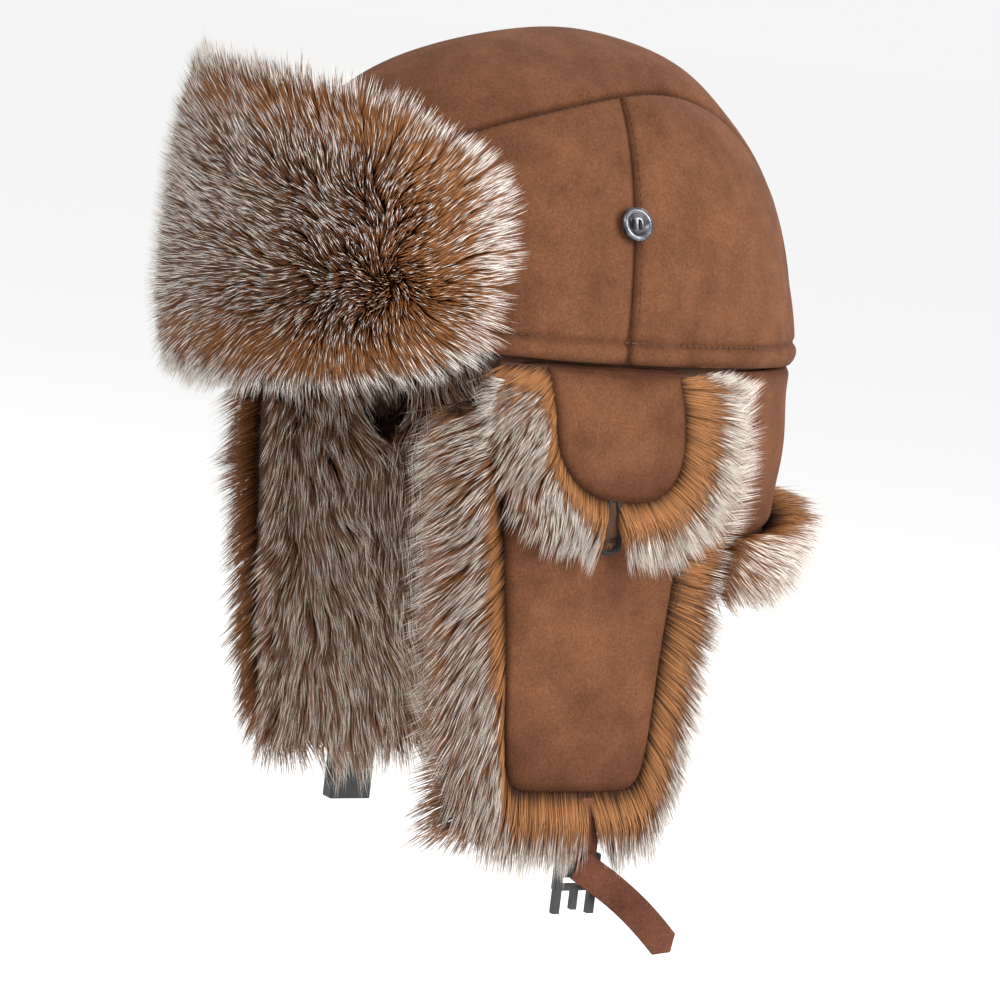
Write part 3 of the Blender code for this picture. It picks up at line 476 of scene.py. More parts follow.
# %% The dome
STRIP_HALF_REAR, STRIP_SWELL, STRIP_SWELL_AT, STRIP_SWELL_SPAN = 0.038, 0.017, -0.022, 0.060
SEAM_DIP, SEAM_WIDTH = 0.0017, 0.0017
BAND_HEIGHT = 0.008


def strip_half(y):
    """Half the width of the centre strip: a bell curve over a constant."""
    return STRIP_HALF_REAR + STRIP_SWELL * np.exp(-(((y - STRIP_SWELL_AT) / STRIP_SWELL_SPAN) ** 2))


def dome(degrees, rise, offset=0.0):
    """The wall's plan shrunk by sqrt(1 - rise^2), at the height rise times the crown's height."""
    edge = wall(degrees, 0.0, offset)
    spread = np.sqrt(np.maximum(1.0 - rise * rise, 0.0))
    x = edge[..., 0] * spread
    y = edge[..., 1] * spread + APEX_SHIFT * rise * rise
    return np.stack([x, y, (CROWN_HEIGHT + offset) * rise], axis=-1)


def on_strip(across, turn):
    """A point of the centre strip: across is -1 to 1, turn runs from the forehead (0) to the nape (pi).

    Halving an interval 40 times finds the place along each ray at which it meets the dome.
    """
    low, high = np.zeros_like(across), np.ones_like(across)
    for _ in range(40):
        reach = (low + high) / 2
        rise = reach * np.sin(turn)
        along = -reach * np.cos(turn)
        x = across * strip_half(HALF_LENGTH * along + APEX_SHIFT * rise * rise)
        inside = (np.abs(x / HALF_WIDTH) ** PLAN_POWER + np.abs(along) ** PLAN_POWER
                  < np.maximum(1.0 - rise * rise, 0.0) ** (PLAN_POWER / 2))
        low, high = np.where(inside, reach, low), np.where(inside, high, reach)
    return np.stack([x, HALF_LENGTH * along + APEX_SHIFT * rise * rise, CROWN_HEIGHT * rise], axis=-1)


def arch_rise(degrees):
    """How high a side panel reaches at each angle: where the dome comes in to the edge of the strip."""
    low, high = np.zeros_like(degrees), np.ones_like(degrees)
    for _ in range(40):
        rise = (low + high) / 2
        point = dome(degrees, rise)
        outside = np.abs(point[..., 0]) > strip_half(point[..., 1])
        low, high = np.where(outside, rise, low), np.where(outside, high, rise)
    return rise


def seam_press(distance):
    """How deep a seam pulls the cloth in: a bell curve of the distance from it."""
    return -SEAM_DIP * np.exp(-((distance / SEAM_WIDTH) ** 2))


def band_relief(points):
    """The stitched ridge at the foot of the crown: a line of stitches 8 mm up, with padding swelling under
    it.
    """
    z = points[..., 2]
    ridge = 0.0009 * np.sin(np.pi * np.clip(z / BAND_HEIGHT, 0.0, 1.0))
    stitch = -0.0009 * np.exp(-(((z - BAND_HEIGHT) / 0.0012) ** 2))
    round_wall = np.degrees(np.arctan2(points[..., 1], points[..., 0]))
    pucker = 0.00022 * np.sin(np.radians(round_wall) * 62.0 + np.sin(round_wall * 0.21) * 2.0)
    pucker *= np.exp(-(((z - BAND_HEIGHT) / 0.006) ** 2))
    return ridge + stitch + pucker


def slow_waves(points):
    """Soft dents of a hand-sewn crown: three sine waves of about 60 to 90 mm."""
    x, y, z = points[..., 0], points[..., 1], points[..., 2]
    return 0.0007 * (np.sin(75 * y + 40 * z + 1.0) + np.sin(95 * z - 55 * y) + np.sin(80 * x + 60 * y + 2.0))


def crown_panel(name, points, edge_distance, hides):
    """Press the seams in, swell the middle, and give the panel its thickness."""
    lift = seam_press(edge_distance) + seam_press(points[..., 2]) * 0.4 + band_relief(points)
    lift += 0.0006 * smooth(edge_distance / 0.020) + slow_waves(points) * smooth(edge_distance / 0.015)
    normal = normals(points)
    if np.sum(normal * points) < 0.0:
        normal = -normal
    outer = points + normal * lift[..., None]
    outer[..., 2] = np.maximum(outer[..., 2], 0.0002)
    inner = points - normal * 0.0017
    inner[..., 2] = np.maximum(inner[..., 2], 0.0002)
    z = points[..., 2]
    # Painted shade: the suede is darker along its seams, at the foot of the crown and along the band's stitch
    # line.
    painted_shade = 0.95 * np.exp(-((edge_distance / 0.0012) ** 2)) + 0.5 * np.exp(-((z / 0.0022) ** 2))
    painted_shade = painted_shade + 0.45 * np.exp(-(((z - BAND_HEIGHT) / 0.0016) ** 2))
    painted_shade = painted_shade + 0.12 * np.exp(-((edge_distance / 0.010) ** 2))
    piece(name, shell_mesh(name, outer, inner, painted_shade=painted_shade), SUEDE, "crown", hides)
    return outer, normal


# %% Centre strip
strip_columns = np.sin(np.linspace(-0.5, 0.5, 81) * np.pi)
across, turn = np.meshgrid(strip_columns, np.linspace(0.0, np.pi, 301))
strip_points = on_strip(across, turn)
strip_edge = (1.0 - np.abs(across)) * strip_half(strip_points[..., 1])
crown_panel("top_panel", strip_points, strip_edge, ["crown_top_panel"])

# %% Side panels
arch_ends = {}
degrees_dense = np.linspace(-89.0, 89.0, 3000)
rise_dense = arch_rise(degrees_dense)
reaching = degrees_dense[rise_dense > 1e-4]
arch_ends["front"], arch_ends["rear"] = reaching[0], reaching[-1]
print("side panels run from", round(arch_ends["front"], 1), "to", round(arch_ends["rear"], 1), "degrees")

side_grids = {}
for part, end in arch_ends.items():
    share = np.linspace(0.0, 1.0, 141) ** 1.25
    degrees = end * share
    up_share, angle = np.meshgrid(np.sin(np.linspace(0.0, np.pi / 2, 121)), degrees, indexing="ij")
    top = np.broadcast_to(arch_rise(degrees), angle.shape)
    points = dome(angle, top * up_share)
    seam_side = np.abs(points[..., 1] - APEX_SHIFT * (top * up_share) ** 2)
    seam_arch = np.linalg.norm(points - points[-1:], axis=-1)
    edge = np.minimum(seam_side, seam_arch)
    for side, sign in (("left", 1.0), ("right", -1.0)):
        mirror = points * np.array([sign, 1.0, 1.0])
        outer, normal = crown_panel(f"side_panel_{part}_{side}", mirror, edge, [f"crown_side_{part}_{side}"])
        side_grids[part, side] = (outer, normal)


# %% [markdown]
# ## Stitches
#
# A stitch is a short spindle of thread that dives into the cloth at both ends. One function lays them
# along any path: it measures the path, steps along it, and lifts each spindle's middle off the cloth.

# %% A line of stitches
def resample(path, count):
    """Points evenly spaced by length along a path."""
    steps = np.linalg.norm(np.diff(path, axis=0), axis=1)
    run = np.concatenate([[0.0], np.cumsum(steps)])
    at = np.linspace(0.0, run[-1], count)
    return np.stack([np.interp(at, run, path[:, k]) for k in range(path.shape[1])], axis=-1)


def stitch_line(name, path, normal, body, pitch=0.0031, length=0.0024, radius=0.00032, material=None):
    """Spindles of six sides: radius sin(pi s)^0.5 round a centre line that rises by sin(pi s)."""
    span = np.linalg.norm(np.diff(path, axis=0), axis=1).sum()
    count = max(int(span / pitch), 1)
    spots = resample(path, 2 * count + 1)
    ups = unit(resample(normal, 2 * count + 1))
    middle, up = spots[1::2], ups[1::2]
    ahead = unit(spots[2::2] - spots[:-2:2])
    aside = unit(np.cross(up, ahead))
    s = np.array([0.0, 0.12, 0.5, 0.88, 1.0])
    turn = np.arange(6) * np.pi / 3
    thick = radius * np.sqrt(np.maximum(np.sin(np.pi * s), 0.0)) + 1e-6
    hump = radius * (0.9 * np.sin(np.pi * s) - 0.35)
    centre = (middle[:, None] + ahead[:, None] * ((s - 0.5) * length)[None, :, None]
              + up[:, None] * hump[None, :, None])
    ring = (aside[:, None, None] * np.cos(turn)[None, None, :, None]
            + up[:, None, None] * np.sin(turn)[None, None, :, None])
    points = centre[:, :, None] + ring * thick[None, :, None, None]
    one = grid_faces(5, 6, wrap=True)
    faces = (one[None] + (np.arange(count) * 30)[:, None, None]).reshape(-1, 4)
    mesh = make_mesh(name, points.reshape(-1, 3), faces)
    bm = bmesh.new()
    bm.from_mesh(mesh)
    bmesh.ops.remove_doubles(bm, verts=bm.verts[:], dist=8e-6)
    bmesh.ops.recalc_face_normals(bm, faces=bm.faces[:])
    bm.to_mesh(mesh)
    bm.free()
    mesh.shade_smooth()
    return piece(name, mesh, material or THREAD, body)


# %% Stitches of the crown
ring = np.linspace(-180.0, 180.0, 721)
band_rise = BAND_HEIGHT / CROWN_HEIGHT
band_path = dome(ring, np.full_like(ring, band_rise), -0.0004)
stitch_line("band_stitches", band_path, outward(ring), "crown")
for side in ("left", "right"):
    for part in ("front", "rear"):
        outer, normal = side_grids[part, side]
        stitch_line(f"arch_stitches_{part}_{side}", outer[-11], normal[-11], "crown", radius=0.00022)
    outer, normal = side_grids["rear", side]
    stitch_line(f"side_stitches_{side}", outer[12:, 5], normal[12:, 5], "crown", radius=0.00022)

# %% [markdown]
# ## Lining and sweatband
#
# The crown is lined with quilted satin, sewn in diamonds through a thin wadding, and a black tape runs
# round the opening. Both are seen only from below. The lining is a second dome, set in by the thickness
# of the wadding.

# %% Quilted lining
LINING_IN = (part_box("crown_side_rear_left")[1].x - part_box("crown_lining")[1].x)
ring_steps, rise_steps = 360, 110
angle = np.linspace(-180.0, 180.0, ring_steps, endpoint=False)
climb = np.sin(np.linspace(0.0, np.pi / 2, rise_steps)) * 0.99999
climb_grid, angle_grid = np.meshgrid(climb, angle, indexing="ij")
height = np.arcsin(climb_grid) * 0.105
quilt_a = np.abs(np.sin(np.radians(angle_grid) * 8.0 + height * 80.0))
quilt_b = np.abs(np.sin(np.radians(angle_grid) * 8.0 - height * 80.0))
puff = 0.0022 * np.minimum(quilt_a, quilt_b) ** 0.5
lining_inner = dome(angle_grid, climb_grid, -LINING_IN - 0.0006)
lining_inner = lining_inner - unit(lining_inner + np.array([0.0, 0.0, 1e-6])) * puff[..., None]
lining_outer = dome(angle_grid, climb_grid, -0.0019)
lining_outer[..., 2] = np.maximum(lining_outer[..., 2], 0.0003)
lining_inner[..., 2] = np.maximum(lining_inner[..., 2], 0.0003)
quilt = shell_mesh("quilted_lining", lining_outer, lining_inner, wrap=True, step=2)
piece("quilted_lining", quilt, SATIN, "crown", ["crown_lining", "crown_wadding"])

# %% Sweatband
band_low, band_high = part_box("sweatband")
band_in = HALF_WIDTH - band_high.x + 0.0028
band_z = np.linspace(band_low.z, band_high.z, 13)
z_grid, angle_grid = np.meshgrid(band_z, angle, indexing="ij")
up_share = (z_grid - band_low.z) / (band_high.z - band_low.z)
lean = 0.0030 * up_share
rib = 0.00015 * np.sin(up_share * np.pi * 12)
band_face = wall(angle_grid, z_grid, -band_in - lean - 0.0016 + rib)
band_back = wall(angle_grid, z_grid, -band_in - lean)
piece("sweatband_tape", shell_mesh("sweatband_tape", band_back, band_face, wrap=True, step=2), TAPE, "crown",
      ["sweatband"])

# %% [markdown]
# ## Ear flaps
#
# A tapered suede panel, padded, hangs from the crown's seam. It has an oval hole over the ear. The panel is a
# ring-shaped grid from the hole's edge out to the outline, so both edges can be rolled over smoothly.

# %% The outlines of the flap
STRAP_AT = (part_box("strap_stay_left")[0].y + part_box("strap_stay_left")[1].y) / 2
FLAP_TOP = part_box("ear_flap_shell_left")[1].z
FLAP_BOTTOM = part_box("ear_flap_shell_left")[0].z
FUR_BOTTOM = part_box("ear_flap_fur_left")[0].z
HOLE_MIDDLE, HOLE_HALF = (-0.004, -0.034), (0.016, 0.014)


def flap_middle(z):
    """The angle of the flap's centre line, which leans back a little on its way down."""
    return mix(-2.5, 0.0, z / FLAP_BOTTOM)


def flap_half(z):
    """Half the width of the suede panel in degrees."""
    return mix(20.5, 14.5, smooth(z / FLAP_BOTTOM))


def squarish(power, count=1600):
    """A rounded square as a closed path: |x|^p + |y|^p = 1, evenly spaced, starting at the right."""
    t = np.linspace(0.0, 2 * np.pi, count * 4)
    path = np.stack([spow(np.cos(t), 2 / power), spow(np.sin(t), 2 / power)], axis=-1)
    return resample(path, count)


def flap_outline(count, grow=0.0):
    """The suede panel's outline in Y and Z, evenly spaced, grown outwards by a distance."""
    square = squarish(9.0)
    z = mix(FLAP_TOP, FLAP_BOTTOM, (1.0 - square[:, 1]) / 2)
    degrees = flap_middle(z) + square[:, 0] * flap_half(z)
    path = np.stack([wall(degrees, z)[:, 1], z], axis=-1)
    path = path + unit(path - path.mean(axis=0)) * grow
    return resample(path, count)


def ring_grid(outline, middle, half, rings, bias=1.0):
    """Points from an oval hole out to an outline, ring by ring, in Y and Z."""
    away = outline - middle
    turn = np.arctan2(away[:, 1] / max(half[1], 1e-6), away[:, 0] / max(half[0], 1e-6))
    hole = middle + np.stack([half[0] * np.cos(turn), half[1] * np.sin(turn)], axis=-1)
    share = np.linspace(0.0, 1.0, rings) ** bias
    return hole[None] + (outline - hole)[None] * share[:, None, None], share


def pillow_edge(distance, radius):
    """A quarter circle that rises from 0 at the edge to 1 at a distance of one radius."""
    near = 1.0 - np.clip(distance / radius, 0.0, 1.0)
    return np.sqrt(np.maximum(1.0 - near * near, 0.0))


def both_sides(build):
    """Run a function for the left and for the right, with the sign of X."""
    for side, sign in (("left", 1.0), ("right", -1.0)):
        build(side, np.array([sign, 1.0, 1.0]))


# %% The suede panels of the flaps
flap_line = flap_outline(361)[:-1]
hole_middle = np.array(HOLE_MIDDLE)
flap_yz, _ = ring_grid(flap_line, hole_middle, HOLE_HALF, 90, 0.9)
to_line = np.linalg.norm(flap_yz[-1:] - flap_yz, axis=-1)
to_hole = np.linalg.norm(flap_yz - flap_yz[:1], axis=-1)
top_edge = smooth((flap_yz[..., 1] - FLAP_TOP + 0.012) / 0.012)
rolled = pillow_edge(to_line, 0.0075) * pillow_edge(to_hole, 0.003)
relief = 0.0009 * np.sin(flap_yz[..., 0] * 70 + flap_yz[..., 1] * 40) * smooth(to_line / 0.02)
relief += 0.0006 * np.sin(flap_yz[..., 1] * 130 - flap_yz[..., 0] * 60) * smooth(to_line / 0.02)
dent_y = 0.013 + (flap_yz[..., 1] + 0.075) * 0.10 + 0.003 * np.sin(flap_yz[..., 1] * 120)
dent = np.exp(-(((flap_yz[..., 0] - dent_y) / 0.0075) ** 2))
dent = dent * np.exp(-(((flap_yz[..., 1] + 0.082) / 0.022) ** 2))
relief -= 0.0024 * dent
# Painted shade: the suede is darker along its outline, in the dent and towards the bottom.
flap_painted_shade = 0.85 * np.exp(-((to_line / 0.0030) ** 2)) + 0.30 * np.exp(-((to_line / 0.012) ** 2)) + 0.16 * dent
flap_painted_shade = flap_painted_shade + 0.30 * smooth((-flap_yz[..., 1] - 0.100) / 0.055)
flap_face = mix(-0.0048, 0.0006, rolled) * (1 - top_edge) + top_edge * mix(-0.0030, -0.0002, rolled) + relief
flap_outer = beside(flap_yz[..., 0], flap_yz[..., 1], flap_face)
flap_inner = beside(flap_yz[..., 0], flap_yz[..., 1], np.full_like(flap_face, -0.0056))


def build_flap_panel(side, mirror):
    mesh = shell_mesh(f"ear_flap_panel_{side}", flap_outer * mirror, flap_inner * mirror, wrap=True,
                      painted_shade=flap_painted_shade, step=2)
    thing = piece(f"ear_flap_panel_{side}", mesh, SUEDE, None,
                  [f"ear_flap_shell_{side}", f"ear_flap_wadding_{side}"])
    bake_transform(thing)


both_sides(build_flap_panel)

# %% [markdown]
# ## Nape
#
# Behind the ear flaps the suede carries on round the back as a wall, down to a fur hem.

# %% Nape wall
NAPE_START, NAPE_HEM, NAPE_DROP = 25.4, -0.058, 0.006


def nape_hem(degrees):
    """The height of the hem, a little lower beside the ear flaps."""
    return NAPE_HEM - NAPE_DROP * smooth(np.abs(degrees - 90.0) / 60.0)


nape_degrees, nape_row = np.meshgrid(np.linspace(NAPE_START, 180.0 - NAPE_START, 220), np.linspace(0, 1, 70))
nape_z = mix(FLAP_TOP, nape_hem(nape_degrees), nape_row)
nape_down = (FLAP_TOP - nape_z)
nape_up = nape_z - nape_hem(nape_degrees)
sag = 0.0009 * np.sin(np.radians(nape_degrees) * 7) * np.sin(nape_row * 3) + 0.0005 * np.sin(nape_z * 150)
nape_face = sag * smooth(np.minimum(nape_down, nape_up) / 0.012) + seam_press(nape_down) * 0.8
nape_side = (np.minimum(nape_degrees, 180.0 - nape_degrees) - NAPE_START) * 0.0018
nape_face = nape_face + mix(-0.0045, 0.0006, pillow_edge(nape_up, 0.006) * pillow_edge(nape_side, 0.005))
nape_outer = wall(nape_degrees, nape_z, nape_face)
nape_inner = wall(nape_degrees, nape_z, np.full_like(nape_z, -0.0056))
# Painted shade: the suede is darker under the seam at the top and along the hem.
nape_painted_shade = 0.7 * np.exp(-((nape_down / 0.004) ** 2)) + 0.7 * np.exp(-((nape_up / 0.003) ** 2))
piece("nape_panel", shell_mesh("nape_panel", nape_outer, nape_inner, painted_shade=nape_painted_shade), SUEDE, "crown",
      ["nape_shell", "nape_wadding"])

# %% Tape behind the band seam
tape_degrees, tape_row = np.meshgrid(np.linspace(-24.0, 204.0, 220), np.linspace(0.0, 1.0, 9))
tape_z = mix(0.0006, -0.0070, tape_row)
seam_tape = shell_mesh("seam_tape", wall(tape_degrees, tape_z, -0.0058), wall(tape_degrees, tape_z, -0.0070))
piece("seam_tape", seam_tape, FUR_BACKING, "crown")

# %% [markdown]
# ## Ear covers
#
# A U-shaped suede tab with a fur border hangs over each ear hole. An elastic loop at its foot slips over the
# button on the crown when the cover is lifted.

# %% Outlines of the cover
COVER_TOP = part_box("ear_cover_shell_left")[1].z - 0.0010
COVER_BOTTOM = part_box("ear_cover_shell_left")[0].z
COVER_FUR_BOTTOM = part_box("ear_cover_fur_left")[0].z
COVER_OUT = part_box("ear_cover_shell_left")[1].x - HALF_WIDTH
LOOP_MIDDLE = (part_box("ear_cover_loop_left")[0].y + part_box("ear_cover_loop_left")[1].y) / 2


def cover_middle(z):
    """The Y of the cover's centre line."""
    return mix(-0.005, 0.003, z / COVER_BOTTOM)


def u_outline(count, half, bottom, square, start):
    """A U: straight sides down to a share of the height, then a rounded foot; closed along the top."""
    foot = np.linspace(0.0, np.pi, 400)
    low = bottom * start
    y = half * spow(np.cos(foot), square)
    z = low + (bottom - low) * spow(np.sin(foot), square)
    sides = np.array([[half, COVER_TOP]]), np.array([[-half, COVER_TOP], [half, COVER_TOP]])
    path = np.concatenate([sides[0], np.stack([y, z], axis=-1), sides[1]])
    path = resample(path, count)
    path[:, 0] += cover_middle(path[:, 1])
    return path


def cover_lift(z):
    """How far the tab stands off the flap: nothing at the seam, all of it 16 mm below."""
    return smooth(-z / 0.016)


# %% Suede tabs
TAB_HALF = 0.0270
tab_line = u_outline(241, TAB_HALF, COVER_BOTTOM, 0.80, 0.42)[:-1]
tab_middle = np.array([0.0, COVER_BOTTOM * 0.42])
tab_yz, _ = ring_grid(tab_line, tab_middle, (0.0, 0.0), 46, 0.85)
to_line = np.linalg.norm(tab_yz[-1:] - tab_yz, axis=-1)
tab_top = smooth((tab_yz[..., 1] + 0.008) / 0.008)
tab_rolled = mix(pillow_edge(to_line, 0.0045), 1.0, tab_top)
crease = -0.0012 * np.exp(-(((tab_yz[..., 0] - 0.006 + tab_yz[..., 1] * 0.25) / 0.004) ** 2))
crease = crease * smooth((-tab_yz[..., 1] - 0.028) / 0.012) * smooth(to_line / 0.006)
tab_stand = 0.0013 + (COVER_OUT - 0.0013 - 0.0042) * cover_lift(tab_yz[..., 1])
tab_face = tab_stand + mix(-0.0020, 0.0020, tab_rolled) * mix(1.0, 0.2, tab_top) + crease
tab_outer = beside(tab_yz[..., 0], tab_yz[..., 1], tab_face)
tab_inner = beside(tab_yz[..., 0], tab_yz[..., 1], tab_stand - 0.0022 * cover_lift(tab_yz[..., 1]) - 0.0003)


# Painted shade: the tab is darker along its outline, towards its foot and under the seam at its top.
tab_painted_shade = 0.75 * np.exp(-((to_line / 0.0024) ** 2)) + 0.35 * np.exp(-((to_line / 0.009) ** 2))
tab_painted_shade = tab_painted_shade + 0.40 * smooth((-tab_yz[..., 1] - 0.030) / 0.018)
tab_painted_shade = tab_painted_shade + 0.20 * smooth((tab_yz[..., 1] + 0.010) / 0.010)


def build_tab(side, mirror):
    mesh = shell_mesh(f"ear_cover_tab_{side}", tab_outer * mirror, tab_inner * mirror, wrap=True,
                      painted_shade=tab_painted_shade, step=2)
    thing = piece(f"ear_cover_tab_{side}", mesh, SUEDE, f"ear_cover_{side}",
                  [f"ear_cover_shell_{side}"])


both_sides(build_tab)


# %% A tube along a path, for the elastic loops
def tube_mesh(name, path, radius, sides=10):
    """Rings of points round each point of a path, square to it, with closed ends."""
    ahead = unit(np.gradient(path, axis=0))
    side_hint = unit(np.cross(ahead, np.array([1.0, 0.12, 0.07])))
    other = np.cross(ahead, side_hint)
    turn = np.arange(sides) * 2 * np.pi / sides
    radii = np.full(len(path), radius)
    radii[[0, -1]] = 1e-7
    circle = side_hint[:, None] * np.cos(turn)[None, :, None] + other[:, None] * np.sin(turn)[None, :, None]
    points = path[:, None] + circle * radii[:, None, None]
    mesh = make_mesh(name, points.reshape(-1, 3), grid_faces(len(path), sides, wrap=True))
    tidy_mesh(mesh)
    return mesh


loop_low, loop_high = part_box("ear_cover_loop_left")
loop_half = (loop_high.y - loop_low.y) / 2 - 0.00095
loop_x = (loop_low.x + loop_high.x) / 2 - 0.0032
bend = np.linspace(0.0, np.pi, 26)
loop_foot = loop_low.z + 0.00095 + loop_half
leg = np.linspace(loop_high.z + 0.003, loop_foot, 12)[:-1]
pinch = 0.0024 * smooth((leg - loop_foot - 0.004) / 0.012)
loop_path = np.concatenate([
    np.stack([np.full_like(leg, loop_x), LOOP_MIDDLE - loop_half + pinch, leg], axis=-1),
    np.stack([np.full_like(bend, loop_x), LOOP_MIDDLE - loop_half * np.cos(bend),
              loop_foot - loop_half * np.sin(bend)], axis=-1),
    np.stack([np.full_like(leg, loop_x), LOOP_MIDDLE + loop_half - pinch, leg], axis=-1)[::-1],
])
loop_path = np.concatenate([loop_path[:1], resample(loop_path, 90), loop_path[-1:]])
loop_path[0, 2] += 1e-5
loop_path[-1, 2] += 1e-5


def build_loop(side, mirror):
    mesh = tube_mesh(f"elastic_loop_{side}", loop_path * mirror, 0.00095)
    piece(f"elastic_loop_{side}", mesh, ELASTIC, f"ear_cover_{side}",
          [f"ear_cover_loop_{side}"])


both_sides(build_loop)

# %% [markdown]
# ## Front flap
#
# The front flap is turned up against the forehead: plain suede on its back, fur on its face.

# %% Suede back of the front flap
front_low, front_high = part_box("front_flap_fur")
FRONT_HALF = 60.0
front_middle_z, front_half_z = (front_low.z + front_high.z) / 2, (front_high.z - front_low.z) / 2


def front_place(column, row, offset, share=1.0):
    """Column and row from -1 to 1 cross the flap, whose corners are rounded by sqrt(1 - 0.62 row^7)."""
    rounded = np.sqrt(1.0 - 0.62 * np.abs(row) ** 7)
    degrees = -90.0 + column * FRONT_HALF * share * rounded
    return degrees, wall(degrees, front_middle_z + row * front_half_z * mix(1.0, share, 0.8), offset)


def round_corners(a, b):
    """Draw the corners of the square from -1 to 1 inwards, the upper ones more, and set the whole a little
    lower.
    """
    corner = np.where(b > 0.0, 0.45, 0.24)
    power = np.where(b > 0.0, 4.0, 6.0)
    return a * (1.0 - 0.13 * np.abs(b) ** 6), b * (1.0 - corner * np.abs(a) ** power) * 0.925 - 0.145


column, row = np.meshgrid(np.linspace(-1, 1, 161), np.linspace(-1, 1, 71))
edge_near = np.minimum((1 - np.abs(column)) * 0.10, (1 - np.abs(row)) * front_half_z)
back_roll = pillow_edge(edge_near, 0.006)
back_column, back_row = round_corners(column, row)
back_face = 0.0044 - 0.0026 * back_roll + 0.0004 * np.sin(column * 9) * back_roll
_, front_back = front_place(back_column, back_row, back_face, 0.91)
_, front_fill = front_place(back_column, back_row, np.full_like(column, 0.0047), 0.91)
front_suede = shell_mesh("front_flap_back", front_fill, front_back)
front_suede = piece("front_flap_back", front_suede, SUEDE, "front_flap",
                    ["front_flap_shell", "front_flap_wadding"])

# %% [markdown]
# ## Fur
#
# Faux fur is thousands of hairs, so it is built as hairs: each is a thin three-sided spike with one bend,
# about ten triangles. Roots are scattered over a surface, and a few rules set where each hair leans: away
# from its seam, a little downwards, and together with its neighbours, because real pile hangs in tufts.

# %% Hairs from roots
HAIR_WIDTH = 0.00047


def tufts(place_a, place_b, size, seed):
    """A random lean shared by all hairs in one cell of a jittered grid, so that tips gather in tufts."""
    random = np.random.default_rng(seed)
    cell_a = np.floor(place_a / size + 0.6 * np.sin(place_b / size * 1.3)).astype(int)
    cell_b = np.floor(place_b / size + 0.6 * np.sin(place_a / size * 1.7)).astype(int)
    cell = (cell_a * 7919 + cell_b * 104729) % 5003
    lean = random.normal(size=(5003, 3))
    centre_a = (cell_a + 0.5) * size
    centre_b = (cell_b + 0.5) * size
    return lean[cell], centre_a - place_a, centre_b - place_b


def drift(points, seed):
    """A slowly turning lean over the whole pile: sums of sine waves 20 to 50 mm long."""
    shift = np.random.default_rng(seed).uniform(0.0, 6.28, (3, 3))
    waves = [np.sin(points @ np.array([190.0, 80.0, 60.0]) + shift[0, k])
             + np.sin(points @ np.array([-70.0, 150.0, 120.0]) + shift[1, k])
             + np.sin(points @ np.array([60.0, -110.0, 210.0]) + shift[2, k]) for k in range(3)]
    return np.stack(waves, axis=-1) / 3.0


HAIR_SIDES = 3
HAIR_POINTS = 2 * HAIR_SIDES + 1
HAIR_FACES = 3 * HAIR_SIDES + 1


def hairs(name, roots, start, finish, length, pale, golden, seed, material, body, gather=0.0):
    """Spikes with three sides: a ring at the root, a ring half way along, and a tip.

    Each hair leaves along start and ends along finish, and its tip is drawn aside by gather, so tips meet
    in tufts. All three are one vector per root. pale and golden are the shares of two kinds of hair; the rest
    are dark. Pale-tipped guard hairs stand out past the shorter golden and dark underfur.
    """
    random = np.random.default_rng(seed)
    count = len(roots)
    start, finish = unit(start), unit(finish)
    dice = random.random(count)
    kind = np.where(dice < pale, 2, np.where(dice < pale + golden, 1, 0))
    length = np.broadcast_to(length, count) * random.uniform(0.84, 1.10, count)
    length = length * np.where(kind == 2, 1.04, 0.80)
    middle = roots + unit(start * 1.5 + finish * 0.5) * (length * 0.48)[:, None] + gather * 0.08
    tip = middle + unit(start * 0.35 + finish) * (length * 0.52)[:, None] + gather * 0.26
    ahead = unit(tip - roots)
    side = unit(np.cross(ahead, random.normal(size=(count, 3))))
    other = np.cross(ahead, side)
    turn = np.arange(3) * 2 * np.pi / 3
    circle = (side[:, None] * np.cos(turn)[None, :, None] + other[:, None] * np.sin(turn)[None, :, None])
    wide = HAIR_WIDTH * random.uniform(0.75, 1.2, count)
    low = roots[:, None] + circle * (wide * 0.5)[:, None, None]
    high = middle[:, None] + circle * (wide * 0.40)[:, None, None]
    points = np.concatenate([low, high, tip[:, None]], axis=1)
    sides = [(k, (k + 1) % 3, 3 + (k + 1) % 3) for k in range(3)]
    sides += [(k, 3 + (k + 1) % 3, 3 + k) for k in range(3)]
    tips = [(3 + k, 3 + (k + 1) % 3, 6) for k in range(3)]
    one = np.array(sides + tips + [(2, 1, 0)])
    faces = (one[None] + (np.arange(count) * HAIR_POINTS)[:, None, None]).reshape(-1, 3)
    height = np.array([0.0, 0.0, 0.0, 0.5, 0.5, 0.5, 1.0])[one]
    own = (kind + 0.01 + 0.97 * random.random(count)) / 3
    own = np.broadcast_to(own[:, None, None], (count, HAIR_FACES, 3))
    uv = np.stack([own, np.broadcast_to(height, (count, HAIR_FACES, 3))], axis=-1)
    mesh = make_mesh(name, points.reshape(-1, 3), faces, uv)
    mesh.shade_smooth()
    print(name, count, "hairs")
    return piece(name, mesh, material, body)


def scatter(count, seed):
    """Pairs of numbers from 0 to 1, evenly spread: one random place in each cell of a square grid."""
    random = np.random.default_rng(seed)
    side = int(math.sqrt(count))
    a, b = np.meshgrid(np.arange(side), np.arange(side))
    return ((a.ravel() + random.random(side * side)) / side, (b.ravel() + random.random(side * side)) / side)


def sideways(degrees):
    """The level direction along the wall, towards larger angles."""
    out = outward(degrees)
    return np.stack([-out[:, 1], out[:, 0], np.zeros(len(out))], axis=-1)


